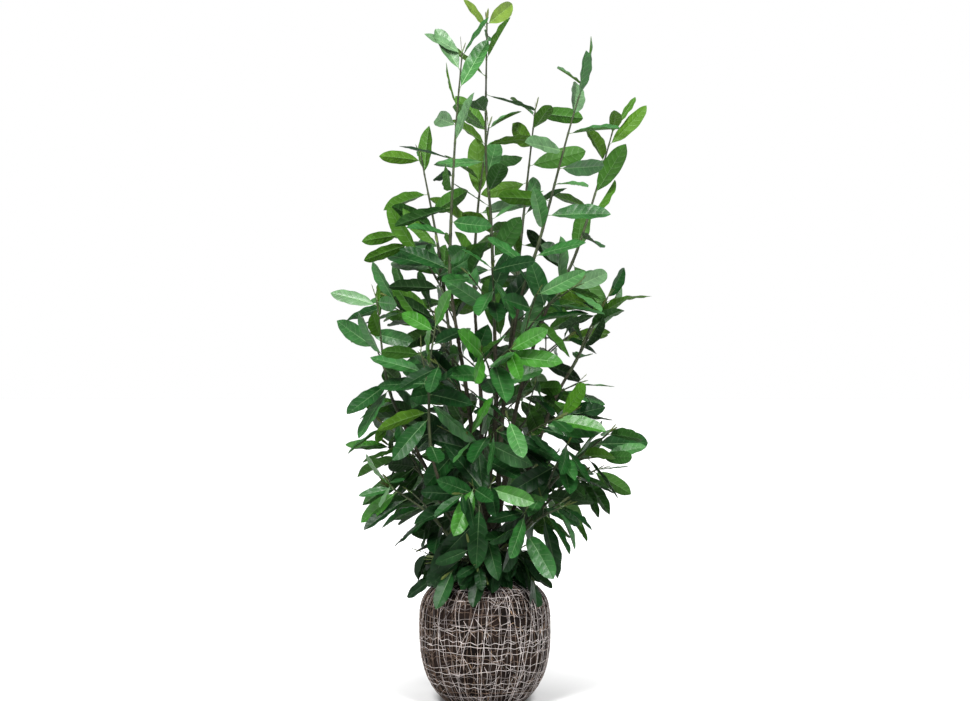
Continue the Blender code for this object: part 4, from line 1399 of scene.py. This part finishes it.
def bark_tube(centres, distances, radii, rng, sides):
    """A limb's skin: ridged a little, with a ring and a bud scar where each old leaf stood."""
    turn = 2 * math.pi * np.arange(sides) / sides
    relief = np.ones((len(centres), sides)) * radii[:, None]
    for i, (x, y, z) in enumerate(sweep(centres, radii, sides)[0][:-2]):
        ridges = rough((x, y, z), *BARK_WAVES) + rough((x, y, z * 0.25), *BARK_FURROWS)
        relief[i // sides, i % sides] += BARK_RELIEF * ridges
    place = rng.uniform(0.01, 0.04)
    while place < distances[-1] - 0.01:
        angle = rng.uniform(0, 2 * math.pi)
        ring = np.exp(-((distances - place) / SCAR_HEIGHT) ** 2)[:, None]
        facing = np.exp(-((np.angle(np.exp(1j * (turn - angle)))) / SCAR_SPREAD) ** 2)[None, :]
        relief += ring * (RING_SWELL + SCAR_SWELL * facing)
        place += rng.uniform(*SCAR_STEPS)
    return sweep(centres, relief, sides)


def limb_line(path):
    """A limb's centres from inside its host to its tip, and its radii, swollen where it leaves the host."""
    centres, distances, radii = spread_points(path, BARK_RING_STEP)
    radii = radii * (1 + COLLAR_SWELL * np.exp(-distances / COLLAR_REACH))
    foot = centres[0] + unit(centres[0] - centres[1]) * LIMB_INTO_HOST
    inner = foot + (centres[0] - foot) * np.linspace(0, 1, 4)[:-1, None]
    centres = np.concatenate([inner, centres])
    return centres, ways_along(centres), np.concatenate([np.full(len(inner), radii[0]), radii])


def trunk_line():
    """The trunk's centres and radii, from inside the ball to a rounded end among the stems."""
    heights = np.arange(BALL_TOP - 0.012, TRUNK_FORK + 0.004, BARK_RING_STEP)
    share = np.clip((heights - BALL_TOP) / (TRUNK_FORK - BALL_TOP), 0, 1)
    radii = mixed(TRUNK_FOOT_RADIUS, TRUNK_FORK_RADIUS, share)
    radii = radii + TRUNK_FLARE * np.exp(-np.maximum(heights - BALL_TOP, 0) / TRUNK_FLARE_HEIGHT)
    radii[-3:] *= (0.93, 0.75, 0.40)
    centres = np.stack([np.zeros(len(heights)), np.zeros(len(heights)), heights], 1)
    return centres, heights - heights[0], radii


def make_bark(paths):
    """The trunk and every limb in their bark."""
    bark = material("bark", (0.0085, 0.0082, 0.0047), 0.80, 0.0, 130, 0.0005, 900,
                    other=(0.031, 0.029, 0.0165), specular=0.15)
    green = material("green bark", (0.010, 0.013, 0.0055), 0.65, 0.0, 90, 0.0003, 900,
                     other=(0.026, 0.033, 0.0135), specular=0.18)
    for name, path in paths.items():
        line, sides = (trunk_line(), BARK_SIDES * 2) if name == "trunk" else (limb_line(path), BARK_SIDES)
        work = Meshwork()
        work.add(*bark_tube(*line, random.Random("bark " + name), sides), 0)
        piece = work.piece("bark_" + name, [green if path.foot_radius < GREEN_BELOW else bark])
        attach(piece, "root")
        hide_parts(name)


def make_camera():
    data = bpy.data.cameras.new("camera")
    data.lens = CAMERA_LENS
    data.sensor_width = 36.0
    camera = in_scene("camera", data)
    camera.location = (0, -CAMERA_DISTANCE, CAMERA_HEIGHT)
    camera.rotation_euler = (math.radians(90), 0, 0)
    bpy.context.scene.camera = camera


def area_light(name, place, power):
    data = bpy.data.lights.new(name, "AREA")
    data.shape = "DISK"
    data.size = LIGHT_SIZE
    data.energy = power
    lamp = in_scene(name, data)
    lamp.location = place
    lamp.rotation_euler = (Vector(LIGHT_TARGET) - Vector(place)).to_track_quat("-Z", "Y").to_euler()


def make_floor():
    """A plain pale floor, which glows more the farther it is from the plant."""
    mesh = bpy.data.meshes.new("floor")
    corners = [(x * FLOOR_REACH, y * FLOOR_REACH, 0) for x, y in ((-1, -1), (1, -1), (1, 1), (-1, 1))]
    mesh.from_pydata(corners, [], [(0, 1, 2, 3)])
    pale = material("floor", (FLOOR_SHADE,) * 3, 0.9, 0.005, 2.0)
    mesh.materials.append(pale)
    tree = pale.node_tree
    shader = tree.nodes["Principled BSDF"]
    distance = add_node(tree, "ShaderNodeVectorMath")
    distance.operation = "LENGTH"
    glow = add_node(tree, "ShaderNodeMapRange", From_Min=FLOOR_GLOW_FROM, From_Max=FLOOR_GLOW_TO,
                    To_Max=FLOOR_GLOW)
    join(tree.nodes["Texture Coordinate"], "Object", distance, 0)
    join(distance, "Value", glow, "Value")
    join(glow, "Result", shader, "Emission Strength")
    shader.inputs["Emission Color"].default_value = (1, 1, 1, 1)
    obj = in_scene("floor", mesh)


def make_surround():
    """A surround that is white low down and high up, and dimmer between, for the dark parts of the sheen."""
    world = bpy.data.worlds.new("surround")
    world.use_nodes = True
    tree = world.node_tree
    way, split, dome = [add_node(tree, kind) for kind in
                        ("ShaderNodeTexCoord", "ShaderNodeSeparateXYZ", "ShaderNodeValToRGB")]
    join(way, "Generated", split, "Vector")
    join(split, "Z", dome, "Fac")
    join(dome, "Color", tree.nodes["Background"], "Color")
    ramp = dome.color_ramp.elements
    ramp[0].position, ramp[1].position = SURROUND[0][0], SURROUND[-1][0]
    for place, _ in SURROUND[1:-1]:
        ramp.new(place)
    for stop, (_, level) in zip(ramp, SURROUND):
        stop.color = (level, level, level, 1)
    bpy.context.scene.world = world


paths, masses, obstacles = grow()
make_camera()
make_floor()
make_surround()
bpy.context.scene.view_settings.view_transform = "Standard"
area_light("key", (-1.5, -3.3, 4.0), 430)
area_light("fill", (1.7, -3.3, 3.8), 330)
make_root_ball()
make_bark(paths)
make_crown(masses, obstacles)
